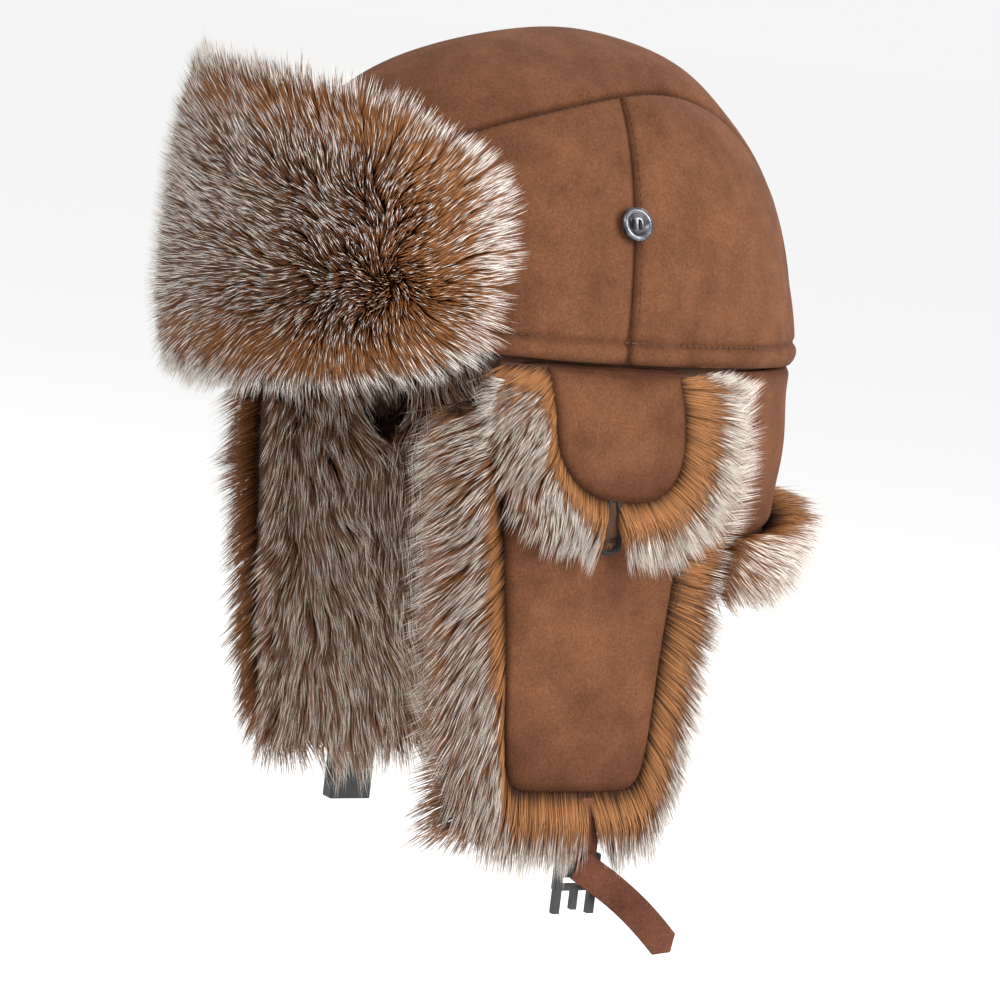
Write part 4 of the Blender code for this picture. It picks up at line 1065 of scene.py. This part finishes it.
# %% Front flap fur
skin_full = (1 - np.abs(column) ** 6) * (1 - np.abs(row) ** 4)
skin_column, skin_row = round_corners(column, row)
_, skin_outer = front_place(skin_column, skin_row, 0.0052 + 0.0028 * np.sqrt(np.maximum(skin_full, 0)), 0.95)
_, skin_inner = front_place(skin_column, skin_row, np.full_like(column, 0.0049), 0.95)
front_skin = shell_mesh("front_fur_backing", skin_outer, skin_inner, step=2)
front_skin = piece("front_fur_backing", front_skin, FUR_BACKING, "front_flap", ["front_flap_fur"])


def front_fur(name, first, last, seed):
    """Hairs stand out of the pad and splay over its edges; first and last bound the columns they cover."""
    a, b = scatter(18000, seed)
    a, b = mix(first, last, a), mix(-1.0, 1.0, b)
    edge = np.maximum(np.abs(a) ** 5, np.abs(b) ** 4)
    rise = np.pi / 2 * (0.92 * spow(b, 1.8) + 0.24 * (1.0 - b * b))
    swing = np.pi / 2 * (0.88 * spow(a, 4.0) - 0.16 * a * (1.0 - a * a))
    full = np.sqrt(np.maximum((1 - np.abs(a) ** 6) * (1 - np.abs(b) ** 4), 0))
    a, b = round_corners(a, b)
    degrees, roots = front_place(a * 1.03, b, 0.0042 + 0.0036 * full, 0.95)
    out, around = outward(degrees), sideways(degrees)
    lying = out * (np.cos(rise) * np.cos(swing))[:, None] + around * np.sin(swing)[:, None]
    lying = unit(lying + UP * np.sin(rise)[:, None])
    lean, pull_a, pull_b = tufts(degrees * 0.0018, roots[:, 2], 0.0050, seed)
    gather = around * pull_a[:, None] + UP * pull_b[:, None]
    wander = drift(roots, 5) * mix(0.30, 0.12, edge)[:, None] + lean * 0.05
    random = np.random.default_rng(seed + 1).normal(size=roots.shape) * 0.05
    start = out * 0.5 + lying + wander * 0.3
    finish = lying + wander + random
    rim = smooth((edge - 0.50) / 0.35)
    # Partly painted shadow: in the middle of the pad few hairs are golden and most are dark, for dark hair
    # and for the shadow between the hairs.
    golden = mix(0.05, 0.76, smooth((edge - 0.08) / 0.22)) * (1.0 - 0.85 * rim)
    pale = mix(mix(0.34, 0.16, smooth((edge - 0.08) / 0.22)), 0.85, rim)
    hairs(name, roots, start, finish, mix(0.0150, 0.0185, edge), pale, golden, seed, PAD_FUR, "front_flap",
          gather)


front_fur("front_fur_right", -1.0, 0.0, 21)
front_fur("front_fur_left", 0.0, 1.0, 22)


# %% Fur of the ear flaps
def fur_outline(count, shrink=0.0):
    """The outline of the fur lining, which stands out past the suede on all sides but the top."""
    square = squarish(6.0)
    z = mix(FLAP_TOP - 0.002, FUR_BOTTOM + shrink, (1.0 - square[:, 1]) / 2)
    half = mix(33.0, 26.0, smooth(z / FUR_BOTTOM)) - np.degrees(shrink / HALF_LENGTH)
    degrees = flap_middle(z) + square[:, 0] * half
    ahead = degrees < -20.0
    z = np.where(ahead, np.minimum(z, -0.0175), z)
    free = smooth((-z - 0.082) / 0.012)
    limit = mix(24.0, 90.0, free)
    degrees = np.minimum(degrees, limit)
    return resample(np.stack([wall(degrees, z)[:, 1], z], axis=-1), count)


inside_line = fur_outline(361, 0.006)[:-1]
backing_yz, _ = ring_grid(inside_line, hole_middle, (HOLE_HALF[0] + 0.001, HOLE_HALF[1] + 0.001), 60, 1.0)
flap_reach = np.linalg.norm(flap_line - hole_middle, axis=1)
backing_away = backing_yz - hole_middle
line_turn = np.arctan2(flap_line[:, 1] - hole_middle[1], flap_line[:, 0] - hole_middle[0])
order = np.argsort(line_turn)
suede_reach = np.interp(np.arctan2(backing_away[..., 1], backing_away[..., 0]), line_turn[order],
                        flap_reach[order], period=2 * np.pi)
past = np.linalg.norm(backing_away, axis=-1) - suede_reach
backing_edge = np.linalg.norm(backing_yz[-1:] - backing_yz, axis=-1)
under_cover = smooth((backing_yz[..., 1] + 0.080) / 0.010) * smooth((backing_yz[..., 0] + 0.058) / 0.008)
backing_rise = mix(-0.0060, mix(0.0010, -0.0012, under_cover), smooth((past + 0.001) / 0.003))
backing_out = beside(backing_yz[..., 0], backing_yz[..., 1],
                     mix(-0.0062, backing_rise, pillow_edge(backing_edge, 0.004)))
backing_in = beside(backing_yz[..., 0], backing_yz[..., 1],
                    mix(-0.0064, -0.0095, pillow_edge(backing_edge, 0.004)))


def build_backing(side, mirror):
    mesh = shell_mesh(f"flap_fur_backing_{side}", backing_out * mirror, backing_in * mirror, wrap=True,
                      step=3)
    thing = piece(f"flap_fur_backing_{side}", mesh, FUR_BACKING, f"ear_flap_{side}",
                  [f"ear_flap_fur_{side}"])


both_sides(build_backing)


def reach_from(path, middle, direction):
    """How far a closed path is from a point, along each of many directions."""
    turn = np.arctan2(path[:, 1] - middle[1], path[:, 0] - middle[0])
    order = np.argsort(turn)
    reach = np.linalg.norm(path - middle, axis=1)
    towards = np.arctan2(direction[:, 1], direction[:, 0])
    return np.interp(towards, turn[order], reach[order], period=2 * np.pi)


def flap_border_fur(side, mirror):
    """Hairs round the suede lie outwards from its edge, so their pale tips meet along the outline.

    In front of the suede the roots spread wide and the hairs stand up, which shows all their colours.
    """
    a, b = scatter(17000, 31 if side == "left" else 32)
    edge = flap_outline(2000)[(a * 1999).astype(int)]
    middle = np.array([0.0, -0.085])
    direction = unit(edge - middle)
    ahead = smooth(-direction[:, 0] * 1.6 - 0.1)
    inner = np.linalg.norm(edge - middle, axis=1) - 0.0015
    outer = np.maximum(reach_from(fur_outline(4000, 0.006), middle, direction), inner + 0.001)
    spread = b ** 1.3 * mix(0.45, 1.0, ahead)
    yz = middle + direction * mix(inner, outer, spread)[:, None]
    keep = (edge[:, 1] < FLAP_TOP - 0.004) & ~((yz[:, 1] > -0.064) & (yz[:, 0] > -0.036) & (yz[:, 0] < 0.034))
    beside_strap = yz[:, 0] - STRAP_AT
    keep &= ~((np.abs(beside_strap) < 0.0040) & (yz[:, 1] < FLAP_BOTTOM - 0.0005))
    keep &= (yz[:, 0] > -0.062) & ~((yz[:, 0] < -0.052) & (yz[:, 1] > -0.020))
    yz, direction, spread, ahead = yz[keep], direction[keep], spread[keep], ahead[keep]
    inner, outer, beside_strap = inner[keep], outer[keep], beside_strap[keep]
    degrees = degrees_at(yz[:, 0])
    out, around = outward(degrees), sideways(degrees)
    roots = wall(degrees, yz[:, 1], mix(-0.0015, -0.0040, spread))
    parting = np.sign(beside_strap) * np.exp(-((beside_strap / 0.008) ** 2))
    parting = parting * smooth((-yz[:, 1] - 0.150) / 0.008)
    flow = around * (direction[:, 0] * mix(1.1, 0.95, ahead) + parting * 0.45)[:, None]
    flow = flow + UP * (direction[:, 1] * 0.9 - mix(0.42, 1.0, ahead))[:, None]
    lean, pull_a, pull_b = tufts(yz[:, 0], yz[:, 1], 0.0050, 33)
    gather = around * pull_a[:, None] + UP * pull_b[:, None]
    wander = drift(roots, 6) * mix(0.20, 0.32, ahead)[:, None] + lean * 0.08
    random = np.random.default_rng(34).normal(size=roots.shape) * 0.05
    stand = mix(mix(0.75, 0.25, spread), mix(1.15, 0.60, spread), ahead)
    start = out * stand[:, None] + flow * 0.65 + wander * 0.3
    finish = out * (stand * mix(0.15, 0.40, ahead))[:, None] + flow + wander + random
    below = smooth((-yz[:, 1] - 0.150) / 0.010)
    rim_length = np.clip((outer - inner) * (1.0 - spread) + 0.012, 0.014, 0.024)
    length = mix(rim_length, 0.0225, ahead) + 0.008 * below
    hairs(f"flap_border_fur_{side}", roots * mirror, start * mirror, finish * mirror, length,
          mix(0.34, 0.44, ahead), mix(0.42, 0.22, ahead), 35,
          FUR, f"ear_flap_{side}", gather * mirror)


both_sides(flap_border_fur)


def flap_lining_fur(side, mirror):
    """Hairs inside the flap: they lean inwards and hang down."""
    a, b = scatter(16000, 41 if side == "left" else 42)
    z = mix(-0.004, FUR_BOTTOM + 0.003, b)
    half = mix(33.0, 26.0, smooth(z / FUR_BOTTOM)) - 3.0
    degrees = flap_middle(z) + mix(-1.0, 1.0, a) * half
    degrees = np.minimum(degrees, mix(23.5, 90.0, smooth((-z - 0.082) / 0.012)))
    keep = ~((degrees < -20.0) & (z > -0.018))
    yz = wall(degrees, z)[:, 1:]
    hole = ((yz[:, 0] - HOLE_MIDDLE[0]) / HOLE_HALF[0]) ** 2 + ((z - HOLE_MIDDLE[1]) / HOLE_HALF[1]) ** 2
    keep &= hole > 1.05
    degrees, z, a, b = degrees[keep], z[keep], a[keep], b[keep]
    out, around = outward(degrees), sideways(degrees)
    roots = wall(degrees, z, -0.0088)
    across = mix(-1.0, 1.0, a)
    flow = around * (spow(across, 3.0) * 1.3)[:, None] - UP * mix(0.75, 1.0, b)[:, None]
    near_hole = np.exp(-(((hole[keep] - 1.0) / 1.1) ** 2))
    flow = flow + (around * (HOLE_MIDDLE[0] - roots[:, 1])[:, None] + UP * (HOLE_MIDDLE[1] - z)[:, None]) * (
        near_hole * 40.0)[:, None]
    lean, pull_a, pull_b = tufts(degrees * 0.0018, z, 0.0060, 43)
    gather = around * pull_a[:, None] + UP * pull_b[:, None]
    wander = drift(roots, 7) * 0.38 + lean * 0.12
    random = np.random.default_rng(44).normal(size=roots.shape) * 0.06
    start = -out * 1.0 + flow * 0.6 + wander * 0.3
    finish = -out * 0.25 + flow + wander + random
    hairs(f"flap_lining_fur_{side}", roots * mirror, start * mirror, finish * mirror,
          0.0210 + 0.007 * b ** 6, 0.46, 0.26, 45,
          PAINTED_LIGHT_LINING_FUR, f"ear_flap_{side}", gather * mirror)


both_sides(flap_lining_fur)

# %% Fur of the ear covers
cover_line = u_outline(241, 0.043, COVER_FUR_BOTTOM + 0.008, 0.85, 0.45)[:-1]
cover_yz, _ = ring_grid(cover_line, tab_middle, (0.0, 0.0), 40, 1.0)
cover_edge = np.linalg.norm(cover_yz[-1:] - cover_yz, axis=-1)
cover_stand = 0.0010 + 0.0030 * cover_lift(cover_yz[..., 1])
cover_out = beside(cover_yz[..., 0], cover_yz[..., 1],
                   0.0009 + (cover_stand - 0.0005) * pillow_edge(cover_edge, 0.003))
cover_in = beside(cover_yz[..., 0], cover_yz[..., 1], 0.0008 + 0.0012 * cover_lift(cover_yz[..., 1]))


def cover_fur(side, mirror):
    """A thin backing, and hairs that fan out from the tab's edge, parted under the loop."""
    mesh = shell_mesh(f"cover_fur_backing_{side}", cover_out * mirror, cover_in * mirror, wrap=True, step=3)
    piece(f"cover_fur_backing_{side}", mesh, FUR_BACKING, f"ear_cover_{side}",
          [f"ear_cover_fur_{side}"])
    a, b = scatter(15000, 51 if side == "left" else 52)
    edge = u_outline(2000, TAB_HALF, COVER_BOTTOM, 0.80, 0.42)[(a * 1999).astype(int)]
    middle = np.array([0.0, COVER_BOTTOM * 0.35])
    direction = unit(edge - middle)
    ahead = smooth(-direction[:, 0] * 1.6 - 0.1)
    inner = np.linalg.norm(edge - middle, axis=1) - 0.002
    outer = reach_from(u_outline(4000, 0.043, COVER_FUR_BOTTOM + 0.008, 0.85, 0.45), middle, direction)
    outer = np.maximum(outer, inner + 0.001)
    spread = b ** 1.3 * mix(0.42, 0.95, ahead)
    yz = middle + direction * mix(inner, outer, spread)[:, None]
    beside_loop = yz[:, 0] - LOOP_MIDDLE
    clear = ((np.abs(beside_loop) > 0.0017) | (yz[:, 1] > COVER_BOTTOM * 0.8))
    keep = (edge[:, 1] < COVER_TOP - 0.0012) & clear
    yz, direction, spread, ahead = yz[keep], direction[keep], spread[keep], ahead[keep]
    inner, outer, beside_loop = inner[keep], outer[keep], beside_loop[keep]
    degrees = degrees_at(yz[:, 0])
    out, around = outward(degrees), sideways(degrees)
    lift = cover_lift(yz[:, 1])
    roots = wall(degrees, yz[:, 1], 0.0014 + 0.0022 * lift)
    parting = np.sign(beside_loop) * np.exp(-((beside_loop / 0.006) ** 2))
    parting = parting * smooth((-yz[:, 1] - 0.040) / 0.008)
    flow = around * (direction[:, 0] * mix(1.15, 0.85, ahead) + parting * 0.30)[:, None]
    flow = flow + UP * (direction[:, 1] * 0.8 - mix(0.35, 0.95, ahead))[:, None]
    lean, pull_a, pull_b = tufts(yz[:, 0], yz[:, 1], 0.0045, 53)
    gather = around * pull_a[:, None] + UP * pull_b[:, None]
    wander = drift(roots, 8) * mix(0.18, 0.28, ahead)[:, None] + lean * 0.08
    random = np.random.default_rng(54).normal(size=roots.shape) * 0.05
    stand = mix(mix(0.85, 0.40, spread), mix(1.2, 0.70, spread), ahead) * (0.35 + 0.65 * lift)
    start = out * stand[:, None] + flow * 0.6 + wander * 0.3
    finish = out * (stand * mix(0.15, 0.40, ahead))[:, None] + flow + wander + random
    length = mix(np.clip((outer - inner) * (1.0 - spread) + 0.012, 0.014, 0.023), 0.0175, ahead)
    hairs(f"cover_fur_{side}", roots * mirror, start * mirror, finish * mirror, length,
          mix(0.38, 0.46, ahead), mix(0.40, 0.22, ahead), 55, FUR,
          f"ear_cover_{side}", gather * mirror)


both_sides(cover_fur)


def cover_lining_fur(side, mirror):
    """Short hairs inside the cover, lying almost flat, because the cover rests on the flap."""
    a, b = scatter(3200, 57 if side == "left" else 58)
    at = cover_yz[(2 + b * 34).astype(int), (a * cover_yz.shape[1]).astype(int)]
    random = np.random.default_rng(59)
    yz = at + random.uniform(-0.0008, 0.0008, at.shape)
    keep = yz[:, 1] < COVER_TOP - 0.003
    yz = yz[keep]
    degrees = degrees_at(yz[:, 0])
    out, around = outward(degrees), sideways(degrees)
    roots = wall(degrees, yz[:, 1], 0.0012 + 0.0010 * cover_lift(yz[:, 1]))
    flow = around * ((yz[:, 0] - LOOP_MIDDLE) * 12.0)[:, None] - UP * 0.9
    wander = drift(roots, 11) * 0.30 + random.normal(size=roots.shape) * 0.07
    start = flow - out * 0.35
    finish = flow + wander - out * 0.12
    hairs(f"cover_lining_fur_{side}", roots * mirror, start * mirror, finish * mirror, 0.0105, 0.42, 0.28, 59,
          PAINTED_LIGHT_LINING_FUR, f"ear_cover_{side}")


both_sides(cover_lining_fur)

# %% Fur of the nape
nape_d, nape_r = np.meshgrid(np.linspace(NAPE_START, 180 - NAPE_START, 180), np.linspace(0, 1, 50))
nape_fur_z = mix(FLAP_TOP - 0.001, nape_hem(nape_d) - 0.019, nape_r)
below = smooth((nape_hem(nape_d) - nape_fur_z) / 0.004)
nape_swell = mix(-0.0060, -0.0015, below) - 0.006 * smooth((nape_hem(nape_d) - nape_fur_z - 0.010) / 0.009)
nape_back_out = wall(nape_d, nape_fur_z, nape_swell)
nape_back_in = wall(nape_d, nape_fur_z, np.full_like(nape_d, -0.0095))
nape_skin = shell_mesh("nape_fur_backing", nape_back_out, nape_back_in, step=3)
piece("nape_fur_backing", nape_skin, FUR_BACKING, "crown", ["nape_fur"])


def nape_hem_fur(seed):
    """Hairs under the hem: they stand out backwards and droop."""
    a, b = scatter(12500, seed)
    degrees = mix(NAPE_START + 0.5, 180 - NAPE_START - 0.5, a)
    z = nape_hem(degrees) + 0.0020 - 0.015 * b ** 1.3
    out, around = outward(degrees), sideways(degrees)
    roots = wall(degrees, z, 0.0018 - 0.006 * b)
    lean, pull_a, pull_b = tufts(degrees * 0.0018, z, 0.0050, 61)
    gather = around * pull_a[:, None] + UP * pull_b[:, None]
    wander = drift(roots, 9) * 0.24 + lean * 0.08
    random = np.random.default_rng(62).normal(size=roots.shape) * 0.05
    start = out * 1.0 - UP * mix(-0.45, 0.6, b)[:, None] + wander * 0.3
    finish = out * mix(1.0, 0.60, b)[:, None] - UP * mix(0.20, 0.80, b)[:, None] + wander + random
    hairs("nape_hem_fur", roots, start, finish, 0.0225, 0.32, 0.46, 63, FUR, "crown", gather)


def nape_lining_fur(seed):
    """Hairs inside the nape: they lean inwards and hang down."""
    a, b = scatter(8500, seed)
    degrees = mix(NAPE_START + 0.5, 180 - NAPE_START - 0.5, a)
    z = mix(-0.004, NAPE_HEM - 0.022, b)
    out = outward(degrees)
    roots = wall(degrees, z, -0.0088)
    lean, pull_a, pull_b = tufts(degrees * 0.0018, z, 0.0060, 71)
    gather = sideways(degrees) * pull_a[:, None] + UP * pull_b[:, None]
    wander = drift(roots, 10) * 0.38 + lean * 0.12
    random = np.random.default_rng(72).normal(size=roots.shape) * 0.06
    start = -out + -UP * 0.5 + wander * 0.3
    finish = -out * 0.3 - UP + wander + random
    hairs("nape_lining_fur", roots, start, finish, 0.0200, 0.50, 0.20, 73, PAINTED_LIGHT_LINING_FUR, "crown", gather)


nape_hem_fur(60)
nape_lining_fur(70)

# %% [markdown]
# ## Buttons
#
# A gunmetal button with a raised rim sits on each side seam, sewn on through four holes with black thread.

# %% Button
BUTTON_LOW, BUTTON_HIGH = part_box("button_left")
button_radius = (BUTTON_HIGH.y - BUTTON_LOW.y) / 2
button_rise = 0.048 / CROWN_HEIGHT
button_foot = dome(np.array(0.0), np.array(button_rise)) * np.array([1.0, 0.0, 1.0])
button_axis = unit(np.array([button_foot[0] / HALF_WIDTH ** 2, 0.0, 0.048 / CROWN_HEIGHT ** 2]))
button_side = np.array([0.0, 1.0, 0.0])
button_up = np.cross(button_axis, button_side)


def at_button(points):
    """Points in the button's own frame (across, up, out of the cloth) moved to its place on the crown."""
    return (button_foot + points[..., :1] * button_side + points[..., 1:2] * button_up
            + points[..., 2:] * button_axis)


def turned_mesh(name, profile, steps, mirror):
    """A profile of radius and height carried round the button's axis."""
    turn = np.arange(steps) * 2 * np.pi / steps
    radius, height = profile[:, 0], profile[:, 1]
    points = np.stack([radius[:, None] * np.cos(turn), radius[:, None] * np.sin(turn),
                       np.broadcast_to(height[:, None], (len(profile), steps))], axis=-1)
    points = (at_button(points) * mirror).reshape(-1, 3)
    mesh = make_mesh(name, points, grid_faces(len(profile), steps, wrap=True))
    tidy_mesh(mesh)
    return mesh


def metal(name, dark, light, roughness):
    """Worn metal: fine scratches tilt the shading normal, and soft patches change the colour."""
    material, tree, shader = start_finish(name, roughness=roughness, metallic=0.9)
    tone = ramp(tree, noise(tree, 500.0, 4.0), [(0.35, dark), (0.65, light)])
    tree.links.new(tone, shader.inputs["Base Color"])
    bump(tree, shader, noise(tree, 3500.0, 2.0, 0.5, (1.0, 0.2, 1.0)), 0.25, 0.00005)
    return material


GUNMETAL = metal("gunmetal", (0.060, 0.060, 0.066), (0.17, 0.17, 0.19), 0.24)
r, t0, t1 = button_radius, 0.0016, 0.0048
button_profile = np.array([
    (0.0, t1 - 0.0016), (r * 0.30, t1 - 0.0016), (r * 0.52, t1 - 0.0013), (r * 0.60, t1 - 0.0008),
    (r * 0.66, t1 - 0.0002), (r * 0.74, t1), (r * 0.84, t1 + 0.00005), (r * 0.93, t1 - 0.0002),
    (r * 0.985, t1 - 0.0008), (r, t1 - 0.0014), (r * 0.99, t0 + 0.0009), (r * 0.93, t0 + 0.0003),
    (r * 0.80, t0),
    (0.0, t0),
])
spots = [(sx * 0.00135, sy * 0.00135) for sx in (-1, 1) for sy in (-1, 1)]


def build_button(side, mirror):
    piece(f"button_shell_{side}", turned_mesh(f"button_shell_{side}", button_profile, 72, mirror), GUNMETAL,
          "crown", [f"button_{side}"])
    face = t1 - 0.0016
    threads = []
    for lane in (-1, 1):
        s = np.linspace(0.0, 1.0, 14)
        for strand in (-0.6, 0.6):
            path = np.stack([np.full_like(s, 0.0) + lane * 0.00135 + strand * 0.0003, mix(-1, 1, s) * 0.00135,
                             face + 0.0007 * np.sin(np.pi * s) ** 0.5 - 0.0002], axis=-1)
            threads.append(at_button(path) * mirror)
    shank = np.array([(0.0, 0.0001), (0.0024, 0.0001), (0.0021, 0.0008), (0.0023, t0 + 0.0001),
                      (0.0, t0 + 0.0001)])
    meshes = [tube_mesh(f"thread_{side}_{k}", np.concatenate([path[:1], path, path[-1:]]), 0.00038, 8)
              for k, path in enumerate(threads)] + [turned_mesh(f"shank_{side}", shank, 24, mirror)]
    for x, y in spots:
        rim = np.array([(0.0, face + 0.00012), (0.00075, face + 0.00012), (0.00082, face - 0.0003),
                        (0.0, face - 0.0004)])
        hole = turned_mesh("hole", rim, 16, np.ones(3))
        shift = at_button(np.array([x, y, 0.0])) - at_button(np.zeros(3))
        hole.transform(Matrix.Translation(Vector(shift)))
        hole.transform(Matrix.Diagonal((*mirror, 1.0)))
        if mirror[0] < 0:
            hole.flip_normals()
        meshes.append(hole)
    bm = bmesh.new()
    for mesh in meshes:
        bm.from_mesh(mesh)
        bpy.data.meshes.remove(mesh)
    joined = bpy.data.meshes.new(f"button_threads_{side}")
    bm.to_mesh(joined)
    bm.free()
    joined.shade_smooth()
    piece(f"button_threads_{side}", joined, BLACK_THREAD, "crown", [f"button_thread_{side}"])


both_sides(build_button)

# %% [markdown]
# ## Straps and buckle
#
# A strap of the same suede hangs from each flap, folded over, with half of a plastic buckle on it. On the
# left a long pointed tail hangs loose. Straps are flat, so each is a flat section carried along a path.

# %% Strap section along a path
strap_low, strap_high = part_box("strap_stay_left")
STRAP_HALF = (strap_high.y - strap_low.y) / 2
STRAP_MIDDLE = STRAP_AT
STRAP_X = (strap_low.x + strap_high.x) / 2 + 0.0001
SECTION_TURN = np.arange(24) * np.pi / 12


def strap_mesh(name, path, aside, width, thick):
    """A flattened oval section, squarer than an ellipse, carried along a path; aside is its wide
    direction.
    """
    ahead = unit(np.gradient(path, axis=0))
    aside = unit(aside - ahead * np.sum(aside * ahead, axis=-1, keepdims=True))
    flat = np.cross(ahead, aside)
    wide = (spow(np.cos(SECTION_TURN), 0.35)[None] * width[:, None])[..., None]
    deep = (spow(np.sin(SECTION_TURN), 0.60)[None] * thick[:, None])[..., None]
    points = path[:, None] + aside[:, None] * wide + flat[:, None] * deep
    ends = [np.repeat(points[:1].mean(axis=1, keepdims=True), 24, axis=1),
            np.repeat(points[-1:].mean(axis=1, keepdims=True), 24, axis=1)]
    points = np.concatenate([ends[0], points, ends[1]])
    mesh = make_mesh(name, points.reshape(-1, 3), grid_faces(len(points), 24, wrap=True))
    tidy_mesh(mesh)
    return mesh


plug_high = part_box("buckle_plug_left")[1]
slot_one = plug_high.z - 0.0036
stay = np.array([(STRAP_X - 0.0012, STRAP_MIDDLE, FLAP_BOTTOM - 0.0004), (STRAP_X, STRAP_MIDDLE, -0.162),
                 (STRAP_X, STRAP_MIDDLE, -0.172), (STRAP_X, STRAP_MIDDLE, slot_one + 0.0018)])
left_end = np.array([(STRAP_X - 0.0006, STRAP_MIDDLE, slot_one + 0.0003),
                     (STRAP_X - 0.0026, STRAP_MIDDLE, slot_one)])
left_path = resample(np.concatenate([stay, left_end]), 90)
narrow = mix(0.42, 1.0, smooth((-0.160 - left_path[:, 2]) / 0.012))


def hang_strap(name, path, mirror, nodes):
    mesh = strap_mesh(name, path * mirror, np.array([[0.0, 1.0, 0.0]]) * np.ones((len(path), 1)),
                      STRAP_HALF * narrow, np.full(len(path), 0.0008))
    thing = piece(name, mesh, STRAP_SUEDE, None, nodes)
    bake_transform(thing)
    return thing


hang_strap("strap_left", left_path, np.ones(3), ["strap_stay_left", "chin_strap_left"])
hang_strap("strap_right", left_path, np.array([-1.0, 1.0, 1.0]),
           ["strap_stay_right", "chin_strap_right"])

# %% The loose tail
tail_start = np.array([STRAP_X + 0.0022, STRAP_MIDDLE - 0.003, slot_one + 0.0008])
tail_length, droop = 0.0555, math.radians(37.0)
s = np.linspace(0.0, 1.0, 70)
tail_path = tail_start + np.stack([0.0030 * np.sin(np.pi * s) - 0.0012 * s, s * tail_length * math.cos(droop),
                                   -s * tail_length * math.sin(droop) + 0.0020 * np.sin(np.pi * s)], axis=-1)
tail_width = STRAP_HALF * np.minimum(1.0, pillow_edge(s * tail_length, 0.0006) * 1.0)
point = (1.0 - s) * tail_length
tail_width = np.minimum(tail_width, STRAP_HALF * np.minimum(1.0, 0.10 + point / 0.0045))
aside = np.stack([0.22 * np.sin(s * 2.4), np.full_like(s, math.sin(droop)),
                  np.full_like(s, math.cos(droop))], axis=-1)
piece("strap_tail", strap_mesh("strap_tail", tail_path, aside, tail_width, np.full(70, 0.0009)),
      STRAP_SUEDE, "strap_left")
for edge_name, edge_sign in (("upper", 1.0), ("lower", -1.0)):
    ahead = unit(np.gradient(tail_path, axis=0))
    over = unit(aside - ahead * np.sum(aside * ahead, axis=-1, keepdims=True))
    face = np.cross(ahead, over)
    face = face * np.sign(face[:, :1])
    line = tail_path + over * (edge_sign * (STRAP_HALF - 0.0016)) + face * 0.00085
    stitch_line(f"tail_stitches_{edge_name}", line[2:62], face[2:62], "strap_left", 0.0026, 0.0019, 0.00020,
                THREAD)

# %% Buckle halves keep their frame shapes and get the plastic finish
for name in ("buckle_plug_left", "buckle_socket_right"):
    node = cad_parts[name]
    node.data.materials.clear()
    node.data.materials.append(PLASTIC)
